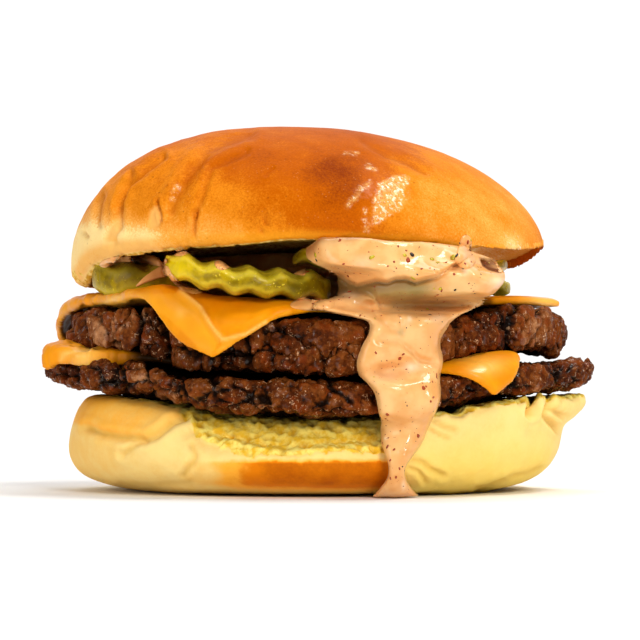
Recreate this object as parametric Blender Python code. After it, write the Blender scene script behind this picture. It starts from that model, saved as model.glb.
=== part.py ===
"""A double cheeseburger in a soft bun, built layer by layer from the table up.

All dimensions are in millimetres and are turned into metres when a mesh is made.
The front is towards -Y, and the burger stands on z = 0.
"""

import math

import bpy
import numpy as np
from mathutils import Vector, noise
from mathutils.bvhtree import BVHTree

MM = 0.001
GAP = 0.35

# Layer levels
BASE_Z = 18.4
SIDE_RISE_LEFT = 4.1
SIDE_RISE_RIGHT = 3.0
SIDE_REACH = 55.0
FRONT_DROOP = 2.4
LOWER_PATTY_T = 7.9
UPPER_PATTY_T = 9.6
CHEESE_T = 2.2

# Patties: mean radius, then lumps as (angle in degrees, width in degrees, amount)
LOWER_PATTY_R = 56.3
LOWER_PATTY_LUMPS = (
    (181.0, 15.0, 5.3),
    (-3.0, 13.0, 5.3),
    (262.0, 16.0, 0.9),
    (228.0, 11.0, -1.0),
    (312.0, 12.0, 0.6),
    (90.0, 30.0, 0.4),
)
UPPER_PATTY_R = 54.0
UPPER_PATTY_LUMPS = (
    (187.0, 17.0, 1.6),
    (3.0, 16.0, 1.5),
    (269.0, 17.0, 2.4),
    (235.0, 10.0, -1.2),
    (305.0, 12.0, 1.6),
    (287.0, 6.0, -2.0),
    (90.0, 30.0, 0.8),
)
PATTY_EDGE = 4.2

# Slices of cheese: corners as (angle in degrees, distance from the middle)
LOWER_SLICE = ((197.0, 66.5), (308.0, 66.5), (28.0, 50.0), (108.0, 58.0))
UPPER_SLICE = ((250.0, 69.0), (352.0, 56.5), (70.0, 60.0), (166.0, 68.0))
SLICE_BEND = 4.4
FLAP_BEND = 6.2
END_LIFT = 2.2
FOLD_AT = 231.0
FOLD_WIDTH = 9.5
FOLD_LIFT = 3.1
SINK_START = 3.5
SINK_END = 11.0
SINK_GAP = 0.3

# Top bun
CROWN_X = -2.6
CROWN_R = 52.1
CROWN_DEPTH = 51.6
CROWN_TOP = 79.4
CROWN_UNDER = 52.4
CROWN_RIM = (
    (0.0, 52.1),
    (332.0, 50.2),
    (320.0, 49.5),
    (308.0, 51.0),
    (296.0, 51.9),
    (270.0, 52.0),
    (248.0, 50.6),
    (225.0, 49.6),
    (214.0, 49.0),
    (203.0, 47.4),
    (191.0, 43.6),
    (178.0, 44.2),
    (150.0, 44.2),
    (110.0, 43.8),
    (70.0, 44.2),
    (30.0, 48.0),
)
CROWN_SAG = 7.0

# Bottom bun: cross sections as (distance from the middle, height), at angles
HEEL_X = -0.8
HEEL_SECTIONS = (
    (0.0, (
        (38.9, 0), (45.3, 1.4), (48.8, 3.2), (51.7, 5.6), (53.5, 8.6), (54.1, 11.2),
        (54.5, 14.2), (57.3, 15.9), (60.3, 19.0), (59.4, 20.8), (55.0, 20.4), (47.0, 19.6),
    )),
    (16.0, (
        (38.9, 0), (45.3, 1.4), (48.8, 3.2), (51.7, 5.6), (53.3, 8.6), (53.9, 11.2),
        (54.1, 14.0), (54.6, 16.0), (55.2, 18.4), (54.0, 20.0), (51.0, 19.9), (45.0, 19.0),
    )),
    (90.0, (
        (38.5, 0), (45.0, 1.3), (49.0, 3.1), (51.6, 5.6), (52.8, 8.6), (53.2, 11.4),
        (53.0, 14.2), (52.2, 16.4), (50.8, 18.0), (48.6, 18.6), (46.0, 18.4), (42.0, 18.0),
    )),
    (150.0, (
        (38.4, 0), (45.0, 1.1), (49.3, 2.7), (52.0, 4.8), (53.5, 8.0), (53.9, 11.2),
        (53.4, 14.4), (52.2, 17.4), (50.4, 19.6), (47.6, 20.4), (45.0, 20.0), (41.0, 19.4),
    )),
    (180.0, (
        (38.4, 0), (44.6, 0.9), (49.5, 2.4), (52.1, 4.2), (53.7, 6.9), (54.1, 9.4),
        (53.6, 13.2), (52.4, 17.2), (50.2, 20.4), (47.4, 21.0), (44.6, 20.3), (40.0, 19.6),
    )),
    (212.0, (
        (38.4, 0), (44.6, 1.0), (49.6, 2.6), (52.4, 4.8), (53.8, 7.6), (54.0, 10.4),
        (53.4, 14.0), (52.2, 17.2), (50.2, 19.6), (47.4, 20.3), (44.6, 19.8), (40.0, 19.2),
    )),
    (234.0, (
        (38.2, 0), (44.4, 1.1), (49.2, 2.8), (51.8, 5.0), (53.0, 7.6), (53.0, 10.2),
        (52.2, 13.2), (50.8, 15.8), (48.8, 17.6), (46.4, 18.3), (44.2, 18.2), (40.0, 17.8),
    )),
    (245.0, (
        (38.0, 0), (44.0, 1.2), (48.6, 2.8), (51.0, 4.8), (52.0, 7.0), (51.6, 8.9),
        (49.8, 10.3), (48.0, 12.0), (46.6, 13.9), (45.4, 15.3), (43.8, 16.0), (40.0, 16.4),
    )),
    (286.0, (
        (38.2, 0), (44.2, 1.2), (48.6, 2.7), (51.0, 4.7), (51.9, 6.9), (51.5, 8.8),
        (49.8, 10.2), (48.0, 12.0), (46.6, 13.9), (45.4, 15.3), (43.8, 16.0), (40.0, 16.4),
    )),
    (299.0, (
        (38.6, 0), (44.8, 1.4), (48.8, 3.2), (51.2, 5.6), (52.4, 8.6), (53.0, 11.4),
        (53.3, 14.2), (53.5, 16.4), (53.1, 18.0), (51.6, 18.9), (48.6, 18.6), (43.0, 18.0),
    )),
    (334.0, (
        (38.8, 0), (45.0, 1.4), (48.9, 3.2), (51.6, 5.6), (53.1, 8.6), (53.7, 11.2),
        (54.1, 14.0), (54.6, 16.2), (55.0, 18.4), (53.8, 20.0), (50.8, 19.9), (45.0, 19.2),
    )),
)

# Pickle chips: centre, radius, thickness, wave height, lean forward and lean right in degrees, turn,
# and how far the two sides bend up
WAVE_LENGTH = 6.3
PICKLES = {
    "pickle_left": ((-34.2, -12.9, 46.2), 13.0, 5.0, 0.7, 6.0, 1.0, 14.0, 0.0),
    "pickle_front": ((-14.6, -36.6, 44.3), 17.3, 5.7, 0.75, 3.0, 6.4, 4.0, 1.4),
    "pickle_upper_right": ((10.0, -35.8, 49.1), 15.6, 2.9, 0.6, 0.0, 0.0, 0.0, 0.0),
    "pickle_lower_right": ((22.8, -32.6, 43.5), 17.2, 3.4, 0.7, 1.0, 0.0, 8.0, 0.0),
    "pickle_back_right": ((28.4, -3.4, 48.6), 13.0, 2.8, 0.6, 0.0, 0.0, -10.0, 0.0),
}

# Sauce: left and right edges as (height, x) down the front, and its thickness
SAUCE_LEFT = (
    (50.6, -3.0), (47.2, -2.2), (45.6, 3.8), (40.4, 4.0),
    (39.4, -1.6), (38.3, -2.2), (37.4, 3.0), (35.7, 10.2),
    (33.7, 10.2), (31.9, 9.2), (29.2, 8.0), (26.6, 7.3), (24.6, 8.0), (23.0, 10.2), (20.8, 11.4),
    (17.8, 11.8), (14.8, 12.5), (11.3, 12.6), (8.7, 13.4),
    (6.3, 14.2), (4.3, 14.0), (2.1, 12.5), (0.0, 10.6),
)
SAUCE_RIGHT = (
    (50.6, 36.6), (48.2, 37.8), (45.7, 38.6), (43.3, 37.6), (41.1, 35.5), (38.8, 33.4), (37.2, 29.0),
    (36.0, 26.9), (34.5, 26.3), (32.7, 24.9), (30.7, 24.6), (28.2, 25.6), (26.2, 25.1), (23.6, 24.5),
    (20.8, 24.7), (19.0, 24.3), (16.4, 23.4), (13.7, 22.0),
    (11.1, 21.0), (8.5, 19.2), (6.3, 17.4), (4.5, 17.4),
    (2.4, 18.5), (0.0, 21.0),
)
SAUCE_THICK = (
    (50.6, 2.6), (47.0, 4.4), (44.6, 4.6), (42.6, 3.2), (40.0, 4.0), (36.0, 4.2),
    (26.0, 4.2), (18.0, 3.9), (9.0, 3.6), (5.0, 3.6), (0.0, 4.2),
)
SPREAD_MIDDLE = (-5.0, 19.5)
SPREAD_REACH = (36.0, 17.0)
SPREAD_LOBES = ((272.0, 15.0, 1.15),)
SAUCE_ROWS = 38
SAUCE_COLUMNS = 13

FINISHES = {
    "crust": ((0.80, 0.42, 0.12), 0.32),
    "patty": ((0.16, 0.075, 0.035), 0.45),
    "cheese": ((1.0, 0.50, 0.05), 0.35),
    "pickle": ((0.38, 0.36, 0.03), 0.25),
    "sauce": ((0.90, 0.62, 0.38), 0.22),
    "heel": ((0.86, 0.62, 0.24), 0.6),
}


def smooth(low, high, value):
    """A smooth step from 0 at low to 1 at high."""
    t = min(1.0, max(0.0, (value - low) / (high - low)))
    return t * t * (3.0 - 2.0 * t)


def lumps(theta, table):
    """The sum of rounded lumps round the outline at an angle in radians."""
    total = 0.0
    for degrees, width, amount in table:
        away = (math.degrees(theta) - degrees + 180.0) % 360.0 - 180.0
        total += amount * math.exp(-((away / width) ** 2))
    return total


def along(table, z):
    """A value read from a table of (height, value), given from the top down."""
    rows = sorted(table)
    return float(np.interp(z, [row[0] for row in rows], [row[1] for row in rows]))


def round_the_clock(table, theta):
    """A value read from a table of (degrees, value or list of pairs) that closes on itself."""
    rows = sorted(table)
    degrees = math.degrees(theta) % 360.0
    after = next((i for i, row in enumerate(rows) if row[0] > degrees), 0)
    low, high = rows[after - 1], rows[after]
    span = (high[0] - low[0]) % 360.0
    t = smooth(0.0, span, (degrees - low[0]) % 360.0)
    return np.asarray(low[1], float) * (1.0 - t) + np.asarray(high[1], float) * t


def base(x, y):
    """The height on which the lower patty lies."""
    rise = SIDE_RISE_LEFT if x < 0 else SIDE_RISE_RIGHT
    middle = 1.0 - smooth(22.0, 40.0, abs(x))
    droop = FRONT_DROOP * smooth(0.0, 52.0, -y) * middle
    return BASE_Z + rise * (abs(x) / SIDE_REACH) ** 1.5 - droop


def lower_top(x, y):
    """The top of the lower patty."""
    thin = 1.7 if x < 0 else 0.7
    return base(x, y) + LOWER_PATTY_T - thin * (abs(x) / SIDE_REACH) ** 2


def inside_slice(corners, x, y):
    """How far a point lies inside the straight sides of a slice, below 0 outside them."""
    flat = [(d * math.cos(math.radians(a)), d * math.sin(math.radians(a))) for a, d in corners]
    found = []
    for (ax, ay), (bx, by) in zip(flat, flat[1:] + flat[:1]):
        found.append(((bx - ax) * (y - ay) - (by - ay) * (x - ax)) / math.hypot(bx - ax, by - ay))
    return min(found)


def upper_base(x, y):
    """The underside of the upper patty, which sinks past the sides of the lower slice of cheese."""
    held = smooth(-SINK_END, -SINK_START, inside_slice(LOWER_SLICE, x, y))
    return lower_top(x, y) + 2.0 * GAP + SINK_GAP + (CHEESE_T - SINK_GAP) * held


def upper_top(x, y):
    """The top of the upper patty."""
    hump = 1.3 * math.exp(-(((x - 44.0) / 5.0) ** 2) - (((y + 29.0) / 11.0) ** 2))
    held = lower_top(x, y) + CHEESE_T + 2.0 * GAP
    return held + UPPER_PATTY_T - 1.6 * (abs(x) / SIDE_REACH) ** 2 + hump


def lower_radius(theta):
    """The outline of the lower patty."""
    return LOWER_PATTY_R + lumps(theta, LOWER_PATTY_LUMPS)


def upper_radius(theta):
    """The outline of the upper patty."""
    return UPPER_PATTY_R + lumps(theta, UPPER_PATTY_LUMPS)


def crown_rim(theta):
    """The height of the top bun's lower edge."""
    return float(round_the_clock(CROWN_RIM, theta))


def crown_under(y):
    """The height of the top bun's hollow underside, which sags at the back."""
    return CROWN_UNDER - CROWN_SAG * smooth(10.0, 42.0, y)


def make(name, points, faces, finish):
    """One closed, smooth-shaded mesh object with its own material."""
    mesh = bpy.data.meshes.new(name)
    mesh.from_pydata([tuple(c * MM for c in p) for p in points], [], faces)
    mesh.validate()
    mesh.update()
    colour, rough = FINISHES[finish]
    material = bpy.data.materials.new(name + "_finish")
    material.use_nodes = True
    shader = material.node_tree.nodes["Principled BSDF"]
    shader.inputs["Base Color"].default_value = (*colour, 1.0)
    shader.inputs["Roughness"].default_value = rough
    mesh.materials.append(material)
    mesh.shade_smooth()
    thing = bpy.data.objects.new(name, mesh)
    bpy.context.scene.collection.objects.link(thing)
    return thing


def rings_to_mesh(name, top, rings, bottom, finish):
    """Closes a stack of equal rings, given from the top down, with a pole at each end."""
    count = len(rings[0])
    points = [top]
    for ring in rings:
        points.extend(ring)
    points.append(bottom)
    faces = []
    for i in range(count):
        j = (i + 1) % count
        faces.append((0, 1 + i, 1 + j))
        for k in range(len(rings) - 1):
            a = 1 + k * count
            b = a + count
            faces.append((a + i, b + i, b + j, a + j))
        last = 1 + (len(rings) - 1) * count
        faces.append((last + i, len(points) - 1, last + j))
    return make(name, points, faces, finish)


def crag(x, y, z, seed):
    """How deep the coarse, broken surface of the meat is dug at a point."""
    rough = noise.turbulence(Vector((x, y, 1.5 * z)) * 0.085 + Vector((seed, 0.0, 0.0)), 3, False)
    cells = noise.voronoi(Vector((x, y, 1.3 * z + seed)) * 0.16)[0]
    crease = max(0.0, 0.42 - (cells[1] - cells[0])) * 2.6
    return 1.5 * max(0.0, 0.75 - rough) + crease


def patty(name, radius, low, high, seed, columns=54):
    """A coarse ground-beef patty between two levels, dug inwards so that it stays inside them."""
    flats = (0.34, 0.62, 0.84)
    steps = [math.radians(180.0 * k / 8.0) for k in range(9)]
    rings = []
    rows = [("top", f) for f in flats] + [("edge", a) for a in steps]
    rows += [("low", f) for f in reversed(flats)]
    for kind, value in rows:
        ring = []
        for i in range(columns):
            theta = 2.0 * math.pi * i / columns
            edge = radius(theta)
            inner = edge - PATTY_EDGE
            if kind == "edge":
                out = inner + PATTY_EDGE * math.sin(value) ** 0.8
                side = math.cos(value)
            else:
                out = inner * value
                side = 1.0 if kind == "top" else -1.0
            x, y = out * math.cos(theta), out * math.sin(theta)
            lo, hi = low(x, y), high(x, y)
            mid, half = 0.5 * (lo + hi), 0.5 * (hi - lo)
            z = mid + half * math.copysign(abs(side) ** 0.75, side)
            dig = crag(x, y, z, seed) * (1.0 if kind == "edge" else 0.45)
            out -= dig * (1.0 - 0.6 * abs(side))
            z -= math.copysign(min(dig * 0.55, 0.55 * half), side) * abs(side)
            ring.append((out * math.cos(theta), out * math.sin(theta), z))
        rings.append(ring)
    top = (0.0, 0.0, high(0.0, 0.0) - 0.5)
    bottom = (0.0, 0.0, low(0.0, 0.0) + 0.5)
    return rings_to_mesh(name, top, rings, bottom, "patty")


def slice_point(corners, u, v):
    """A point of the flat slice, for u and v from 0 to 1."""
    flat = [(d * math.cos(math.radians(a)), d * math.sin(math.radians(a))) for a, d in corners]
    a, b, c, d = (np.array(p) for p in flat)
    return (1 - u) * (1 - v) * a + u * (1 - v) * b + u * v * c + (1 - u) * v * d


def lower_support(theta):
    """The even outline over which the lower slice bends."""
    return 56.6 + lumps(theta, ((181.0, 24.0, 4.2), (-3.0, 20.0, 4.4)))


def upper_support(theta):
    """The even outline over which the upper slice bends."""
    return 55.4 + lumps(theta, ((262.0, 40.0, 1.2), (187.0, 26.0, 0.6)))


def drape(x, y, radius, top, lift, hang):
    """Where a point of the flat slice goes when it is laid over a patty, at a height above its top side."""
    out = math.hypot(x, y)
    theta = math.atan2(y, x)
    front = math.exp(-((((math.degrees(theta) - 250.0 + 180.0) % 360.0 - 180.0) / 24.0) ** 2))
    bend = SLICE_BEND
    if radius is upper_support:
        bend += (FLAP_BEND - SLICE_BEND) * front
    edge = radius(theta) + GAP - bend + 0.5
    over = out - edge
    rise = 0.0
    if radius is lower_support:
        rise = END_LIFT * smooth(-52.0, -57.0, x)
    else:
        # The upper slice arches up before it folds over the edge
        arch = math.exp(-((((math.degrees(theta) - FOLD_AT + 180.0) % 360.0 - 180.0) / FOLD_WIDTH) ** 2))
        rise = FOLD_LIFT * arch * smooth(32.0, 46.0, out) * smooth(7.0, 1.0, over)
    if over <= 0.0:
        return Vector((x, y, top(x, y) + GAP + lift + rise))
    limit = math.radians(hang(theta))
    angle = min(over / bend, limit)
    rest = over - angle * bend
    along_out = edge + (bend + lift) * math.sin(angle) + rest * math.cos(angle)
    ex, ey = edge * math.cos(theta), edge * math.sin(theta)
    z = top(ex, ey) + GAP - bend + (bend + lift) * math.cos(angle) - rest * math.sin(angle) + rise
    return Vector((along_out * math.cos(theta), along_out * math.sin(theta), z))


def cheese(name, corners, radius, top, hang, count=15):
    """A slice of cheese laid over a patty and bent down where it passes the edge."""
    points, faces = [], []
    spacing = [0.5 - 0.5 * math.cos(math.pi * (0.06 + 0.88 * k / count)) for k in range(count + 1)]
    spacing = [(s - spacing[0]) / (spacing[-1] - spacing[0]) for s in spacing]
    soft = 0.06
    for side in (1.0, 0.0):
        for v in spacing:
            for u in spacing:
                # Corners of the slice are rounded off
                cu, cv = 2.0 * u - 1.0, 2.0 * v - 1.0
                pull = 1.0 - soft * max(0.0, abs(cu * cv) - 0.75) / 0.25
                x, y = slice_point(corners, 0.5 + 0.5 * cu * pull, 0.5 + 0.5 * cv * pull)
                rim = max(abs(cu), abs(cv))
                thick = CHEESE_T * (1.0 - 0.35 * smooth(0.93, 1.0, rim))
                lift = 0.0 if side == 0.0 else thick
                points.append(tuple(drape(x, y, radius, top, lift, hang)))
    n = count + 1
    half = n * n
    for r in range(count):
        for c in range(count):
            a = r * n + c
            faces.append((a, a + 1, a + n + 1, a + n))
            faces.append((half + a, half + a + n, half + a + n + 1, half + a + 1))
    rim = [c for c in range(count)] + [r * n + count for r in range(count)]
    rim += [count * n + c for c in range(count, 0, -1)] + [r * n for r in range(count, 0, -1)]
    for i, a in enumerate(rim):
        b = rim[(i + 1) % len(rim)]
        faces.append((a, half + a, half + b, b))
    return make(name, points, faces, "cheese")


def pickle(name, centre, radius, thick, wave, lean, roll, turn, bend, across=26, deep=4):
    """A crinkle-cut chip: a disc whose two faces rise and fall together."""
    lean, roll, turn = math.radians(lean), math.radians(roll), math.radians(turn)
    most = math.radians(82.0)
    points, faces = [], []
    for side in (1.0, -1.0):
        for i in range(across + 1):
            even = 2.0 * i / across - 1.0
            u = 0.985 * (0.55 * math.sin(most * even) / math.sin(most) + 0.45 * even)
            chord = math.sqrt(1.0 - u * u)
            for j in range(deep + 1):
                v = chord * (2.0 * j / deep - 1.0)
                x, y = radius * u, radius * v
                z = wave * math.cos(2.0 * math.pi * x / WAVE_LENGTH) + side * 0.5 * thick
                edge = smooth(0.86, 1.0, math.hypot(u, v))
                z -= side * 0.16 * thick * edge
                x, y = x * math.cos(turn) - y * math.sin(turn), x * math.sin(turn) + y * math.cos(turn)
                z = z + y * math.tan(lean) - x * math.tan(roll) + bend * u * u * (1.0 - 0.5 * u)
                points.append((centre[0] + x, centre[1] + y, centre[2] + z))
    n = deep + 1
    half = (across + 1) * n
    for i in range(across):
        for j in range(deep):
            a = i * n + j
            faces.append((a, a + n, a + n + 1, a + 1))
            faces.append((half + a, half + a + 1, half + a + n + 1, half + a + n))
    rim = [j for j in range(deep)] + [i * n + deep for i in range(across)]
    rim += [across * n + j for j in range(deep, 0, -1)] + [i * n for i in range(across, 0, -1)]
    for i, a in enumerate(rim):
        b = rim[(i + 1) % len(rim)]
        faces.append((a, b, half + b, half + a))
    return make(name, points, faces, "pickle")


def crown(columns=50):
    """The domed top bun: fuller on the left, and drawn to a crisp edge on the right."""
    rings = []
    domes = [math.radians(a) for a in (14, 27, 39, 50, 60, 69, 77, 83.5)]
    rows = [("dome", a) for a in domes] + [("rim", k) for k in range(5)]
    rows += [("under", f) for f in (0.945, 0.895, 0.8, 0.6, 0.35)]
    for kind, value in rows:
        ring = []
        for i in range(columns):
            theta = 2.0 * math.pi * i / columns
            cx, cy = math.cos(theta), math.sin(theta)
            left = smooth(-0.2, 0.95, -cx)
            right = smooth(0.0, 0.95, cx)
            low = crown_rim(theta)
            lip = 0.9 + 3.6 * left + 1.2 * (1.0 - left) * (1.0 - right)
            wide = low + lip
            sag = 1.0 + 0.006 * math.sin(3.0 * theta + 0.6) + 0.004 * math.sin(7.0 * theta)
            power = 2.0 + 0.42 * left
            root = 0.50 - 0.04 * left + 0.07 * right
            if kind == "dome":
                s = math.sin(value)
                z = wide + (CROWN_TOP - wide) * (1.0 - s**power) ** root
            elif kind == "rim":
                turn = math.radians(90.0 * value / 4.0)
                s = 1.0 - (1.0 - math.cos(turn)) * (0.012 + 0.05 * left + 0.02 * (1.0 - right))
                z = wide - lip * math.sin(turn)
            else:
                s = value
                under = crown_under(s * CROWN_DEPTH * cy)
                z = under + (low - under) * smooth(0.88, 0.985, value)
                z += 0.25 * noise.noise(Vector((14.0 * value * cx, 14.0 * value * cy, 3.0)))
            x = CROWN_X + s * CROWN_R * cx * (sag if kind != "under" else 1.0)
            y = s * CROWN_DEPTH * cy * (sag if kind != "under" else 1.0)
            ring.append((x, y, z))
        rings.append(ring)
    return rings_to_mesh("bun_top", (CROWN_X, 0.0, CROWN_TOP), rings, (CROWN_X, 0.0, CROWN_UNDER), "crust")


def heel(columns=60):
    """The bottom bun: a full roll on the left, a torn front and a flared lip on the right."""
    inner = (0.72, 0.42)
    sections = []
    for i in range(columns):
        theta = 2.0 * math.pi * i / columns
        sections.append(round_the_clock(HEEL_SECTIONS, theta))
    count = len(sections[0])
    rings = []
    for f in reversed(inner):
        rings.append(("top", f))
    rings += [("side", k) for k in range(count - 1, -1, -1)]
    rings += [("floor", f) for f in inner]
    built = []
    for kind, value in rings:
        ring = []
        for i in range(columns):
            theta = 2.0 * math.pi * i / columns
            section = sections[i]
            if kind == "side":
                out, z = section[value]
            elif kind == "top":
                out = section[-1][0] * value
                z = 99.0
            else:
                out, z = section[0][0] * value, 0.0
            x = HEEL_X + out * math.cos(theta)
            y = out * math.sin(theta)
            if kind == "side" and value > 0:
                wobble = noise.noise(Vector((x, y, z)) * 0.055) * 0.7
                x += wobble * math.cos(theta)
                y += wobble * math.sin(theta)
            if kind != "floor":
                dent = 0.35 * noise.noise(Vector((x, y, 0.0)) * 0.12)
                z = min(z, base(x, y) - GAP - 0.45 + dent)
            ring.append((x, y, max(0.0, z)))
        built.append(ring)
    top = (HEEL_X, 0.0, base(0.0, 0.0) - 1.0)
    return rings_to_mesh("bun_bottom", top, built, (HEEL_X, 0.0, 0.0), "heel")


def spread(columns=30):
    """The sauce inside, behind the pickles, on which the back of the top bun lies."""
    (middle_x, middle_y), (reach_x, reach_y) = SPREAD_MIDDLE, SPREAD_REACH
    rows = [("top", f) for f in (0.4, 0.72)] + [("edge", math.radians(45.0 * k)) for k in range(5)]
    rows += [("low", f) for f in (0.72, 0.4)]
    rings = []
    for kind, value in rows:
        ring = []
        for i in range(columns):
            theta = 2.0 * math.pi * i / columns
            out = 0.9 + 0.1 * math.sin(value) if kind == "edge" else 0.9 * value
            side = math.cos(value) if kind == "edge" else (1.0 if kind == "top" else -1.0)
            out *= 1.0 + 0.05 * math.sin(3.0 * theta + 1.0) + 0.03 * math.sin(5.0 * theta)
            out *= 1.0 + lumps(theta, SPREAD_LOBES)
            x = middle_x + out * reach_x * math.cos(theta)
            y = middle_y + out * reach_y * math.sin(theta)
            ring.append((x, y, spread_height(x, y, side)))
        rings.append(ring)
    top = (middle_x, middle_y, spread_height(middle_x, middle_y, 1.0))
    bottom = (middle_x, middle_y, spread_height(middle_x, middle_y, -1.0))
    return rings_to_mesh("sauce_spread", top, rings, bottom, "sauce")


def spread_height(x, y, side):
    """The height of the inner sauce, from its underside at -1 to its top at 1."""
    low = upper_top(x, y) + CHEESE_T + 2.0 * GAP + 0.15
    high = crown_under(y) - GAP - 0.35
    return 0.5 * (low + high) + 0.5 * (high - low) * side


def front_of(trees, x, z):
    """How far forward the pieces reach at a place, seen from the front, or None."""
    found = []
    for tree in trees:
        hit = tree.ray_cast(Vector((x, -120.0, z)), Vector((0.0, 1.0, 0.0)))[0]
        if hit is not None and hit.y < -20.0:
            found.append(hit.y)
    return min(found) if found else None


def sauce_depths(trees, grid):
    """The y of the sauce's back at each place of the grid, clear of every piece behind it."""
    rows, columns = len(grid), len(grid[0])
    back = np.full((rows, columns), np.nan)
    for r in range(rows):
        for c in range(columns):
            x, z = grid[r][c]
            near = []
            for dx in (-1.5, -0.75, 0.0, 0.75, 1.5):
                for dz in (-1.3, -0.65, 0.0, 0.65, 1.3):
                    y = front_of(trees, x + dx, max(0.08, z + dz))
                    if y is not None:
                        near.append(y)
            if near:
                back[r, c] = min(near) - GAP - 0.15
    for c in range(columns):
        known = ~np.isnan(back[:, c])
        back[:, c] = np.interp(np.arange(rows), np.arange(rows)[known], back[known, c])
    limit = back.copy()
    for _ in range(2):
        padded = np.pad(back, 1, mode="edge")
        mean = (padded[:-2, 1:-1] + padded[2:, 1:-1] + padded[1:-1, :-2] + padded[1:-1, 2:]) / 4.0
        back = np.minimum(limit, 0.5 * back + 0.5 * mean)
    return back


def sauce(trees):
    """The sauce that runs from under the top bun, over the pickles and down the front to the table."""
    levels = [50.6 * (1.0 - k / (SAUCE_ROWS - 1)) for k in range(SAUCE_ROWS)]
    grid = []
    for z in levels:
        left, right = along(SAUCE_LEFT, z), along(SAUCE_RIGHT, z)
        row = []
        for c in range(SAUCE_COLUMNS):
            u = 0.5 - 0.5 * math.cos(math.pi * c / (SAUCE_COLUMNS - 1))
            x = left + (right - left) * (0.5 * u + 0.5 * c / (SAUCE_COLUMNS - 1))
            theta = math.atan2(-math.sqrt(max(1.0, 50.0**2 - (x - CROWN_X) ** 2)), x - CROWN_X)
            drop = max(0.0, 50.6 - (crown_rim(theta) - GAP - 0.5))
            row.append((x, z - drop * smooth(40.0, 50.6, z)))
        grid.append(row)
    back = sauce_depths(trees, grid)
    points, faces = [], []
    for side in (1.0, 0.0):
        for r, row in enumerate(grid):
            for c, (x, z) in enumerate(row):
                across = 2.0 * c / (SAUCE_COLUMNS - 1) - 1.0
                body = 0.75 + along(SAUCE_THICK, z) * math.sqrt(max(0.0, 1.0 - abs(across) ** 3.0))
                body += 0.5 * noise.noise(Vector((x * 0.16, z * 0.12, 7.0))) * (1.0 - across * across)
                points.append((x, back[r, c] - side * body, z))
    n = SAUCE_COLUMNS
    half = SAUCE_ROWS * n
    for r in range(SAUCE_ROWS - 1):
        for c in range(n - 1):
            a = r * n + c
            faces.append((a, a + n, a + n + 1, a + 1))
            faces.append((half + a, half + a + 1, half + a + n + 1, half + a + n))
    rim = [c for c in range(n - 1)] + [r * n + n - 1 for r in range(SAUCE_ROWS - 1)]
    rim += [(SAUCE_ROWS - 1) * n + c for c in range(n - 1, 0, -1)]
    rim += [r * n for r in range(SAUCE_ROWS - 1, 0, -1)]
    for i, a in enumerate(rim):
        b = rim[(i + 1) % len(rim)]
        faces.append((a, b, half + b, half + a))
    return make("sauce", points, faces, "sauce")


def tree_of(thing):
    """A search tree of an object's faces, in millimetres."""
    points = [v.co / MM for v in thing.data.vertices]
    return BVHTree.FromPolygons(points, [tuple(p.vertices) for p in thing.data.polygons])


def lower_hang(theta):
    """How steeply the lower slice hangs past the patty, in degrees."""
    return 84.0


def upper_hang(theta):
    """How steeply the upper slice hangs past the patty, in degrees."""
    away = ((math.degrees(theta) - 250.0 + 180.0) % 360.0 - 180.0) / 34.0
    return 82.0 - 21.0 * math.exp(-(away**2))


def centre_box(things):
    """Moves everything so that the box round it is centred on the Z axis."""
    corners = np.array([v.co for thing in things for v in thing.data.vertices])
    low, high = corners.min(axis=0), corners.max(axis=0)
    shift = Vector((-0.5 * (low[0] + high[0]), -0.5 * (low[1] + high[1]), -low[2]))
    for thing in things:
        for vertex in thing.data.vertices:
            vertex.co += shift
        thing.data.update()
    print("moved by", [round(c / MM, 3) for c in shift])


def main():
    """Builds every piece from the bottom up."""
    for thing in list(bpy.data.objects):
        bpy.data.objects.remove(thing)
    things = [heel()]
    things.append(patty("patty_lower", lower_radius, base, lower_top, 3.0))
    things.append(cheese("cheese_lower", LOWER_SLICE, lower_support, lower_top, lower_hang))
    things.append(patty("patty_upper", upper_radius, upper_base, upper_top, 11.0))
    things.append(cheese("cheese_upper", UPPER_SLICE, upper_support, upper_top, upper_hang))
    for name, dims in PICKLES.items():
        things.append(pickle(name, *dims))
    things.append(spread())
    things.append(crown())
    trees = [tree_of(thing) for thing in things]
    things.append(sauce(trees))
    centre_box(things)


main()
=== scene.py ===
"""The looks of a double cheeseburger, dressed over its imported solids.

Lengths are in millimetres until a mesh is written. The front is towards -Y. Details of
the front are placed on the front plane, which is an upright plane just before the burger:
a place on it is (x, z), and seen() finds the place at which the camera sees a point.
SHIFT is the place of the burger's own middle in the frame.
"""

from __future__ import annotations

import logging
import math
from dataclasses import dataclass, field
from enum import Enum
from typing import Callable, Sequence

import bpy
import numpy as np
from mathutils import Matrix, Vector
from mathutils.bvhtree import BVHTree


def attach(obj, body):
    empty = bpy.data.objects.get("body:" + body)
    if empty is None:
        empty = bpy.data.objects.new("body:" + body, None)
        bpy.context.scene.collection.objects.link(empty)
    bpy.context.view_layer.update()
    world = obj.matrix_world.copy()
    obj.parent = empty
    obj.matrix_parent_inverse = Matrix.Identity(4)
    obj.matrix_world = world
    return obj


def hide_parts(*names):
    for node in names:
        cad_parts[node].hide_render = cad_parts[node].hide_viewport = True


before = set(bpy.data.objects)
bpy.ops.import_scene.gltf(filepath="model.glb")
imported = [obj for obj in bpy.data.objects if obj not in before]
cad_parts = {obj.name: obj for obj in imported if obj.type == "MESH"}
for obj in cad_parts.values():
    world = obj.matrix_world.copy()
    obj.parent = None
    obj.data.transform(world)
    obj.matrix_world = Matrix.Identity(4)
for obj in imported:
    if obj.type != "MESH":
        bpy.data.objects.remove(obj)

LOG = logging.getLogger("burger")
MM = 0.001
SHIFT = np.array((-0.186, 1.642, 0.0))
FRONT_PLANE = -50.0
CAMERA_X = 0.33
CAMERA_DISTANCE = 600.0
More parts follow.
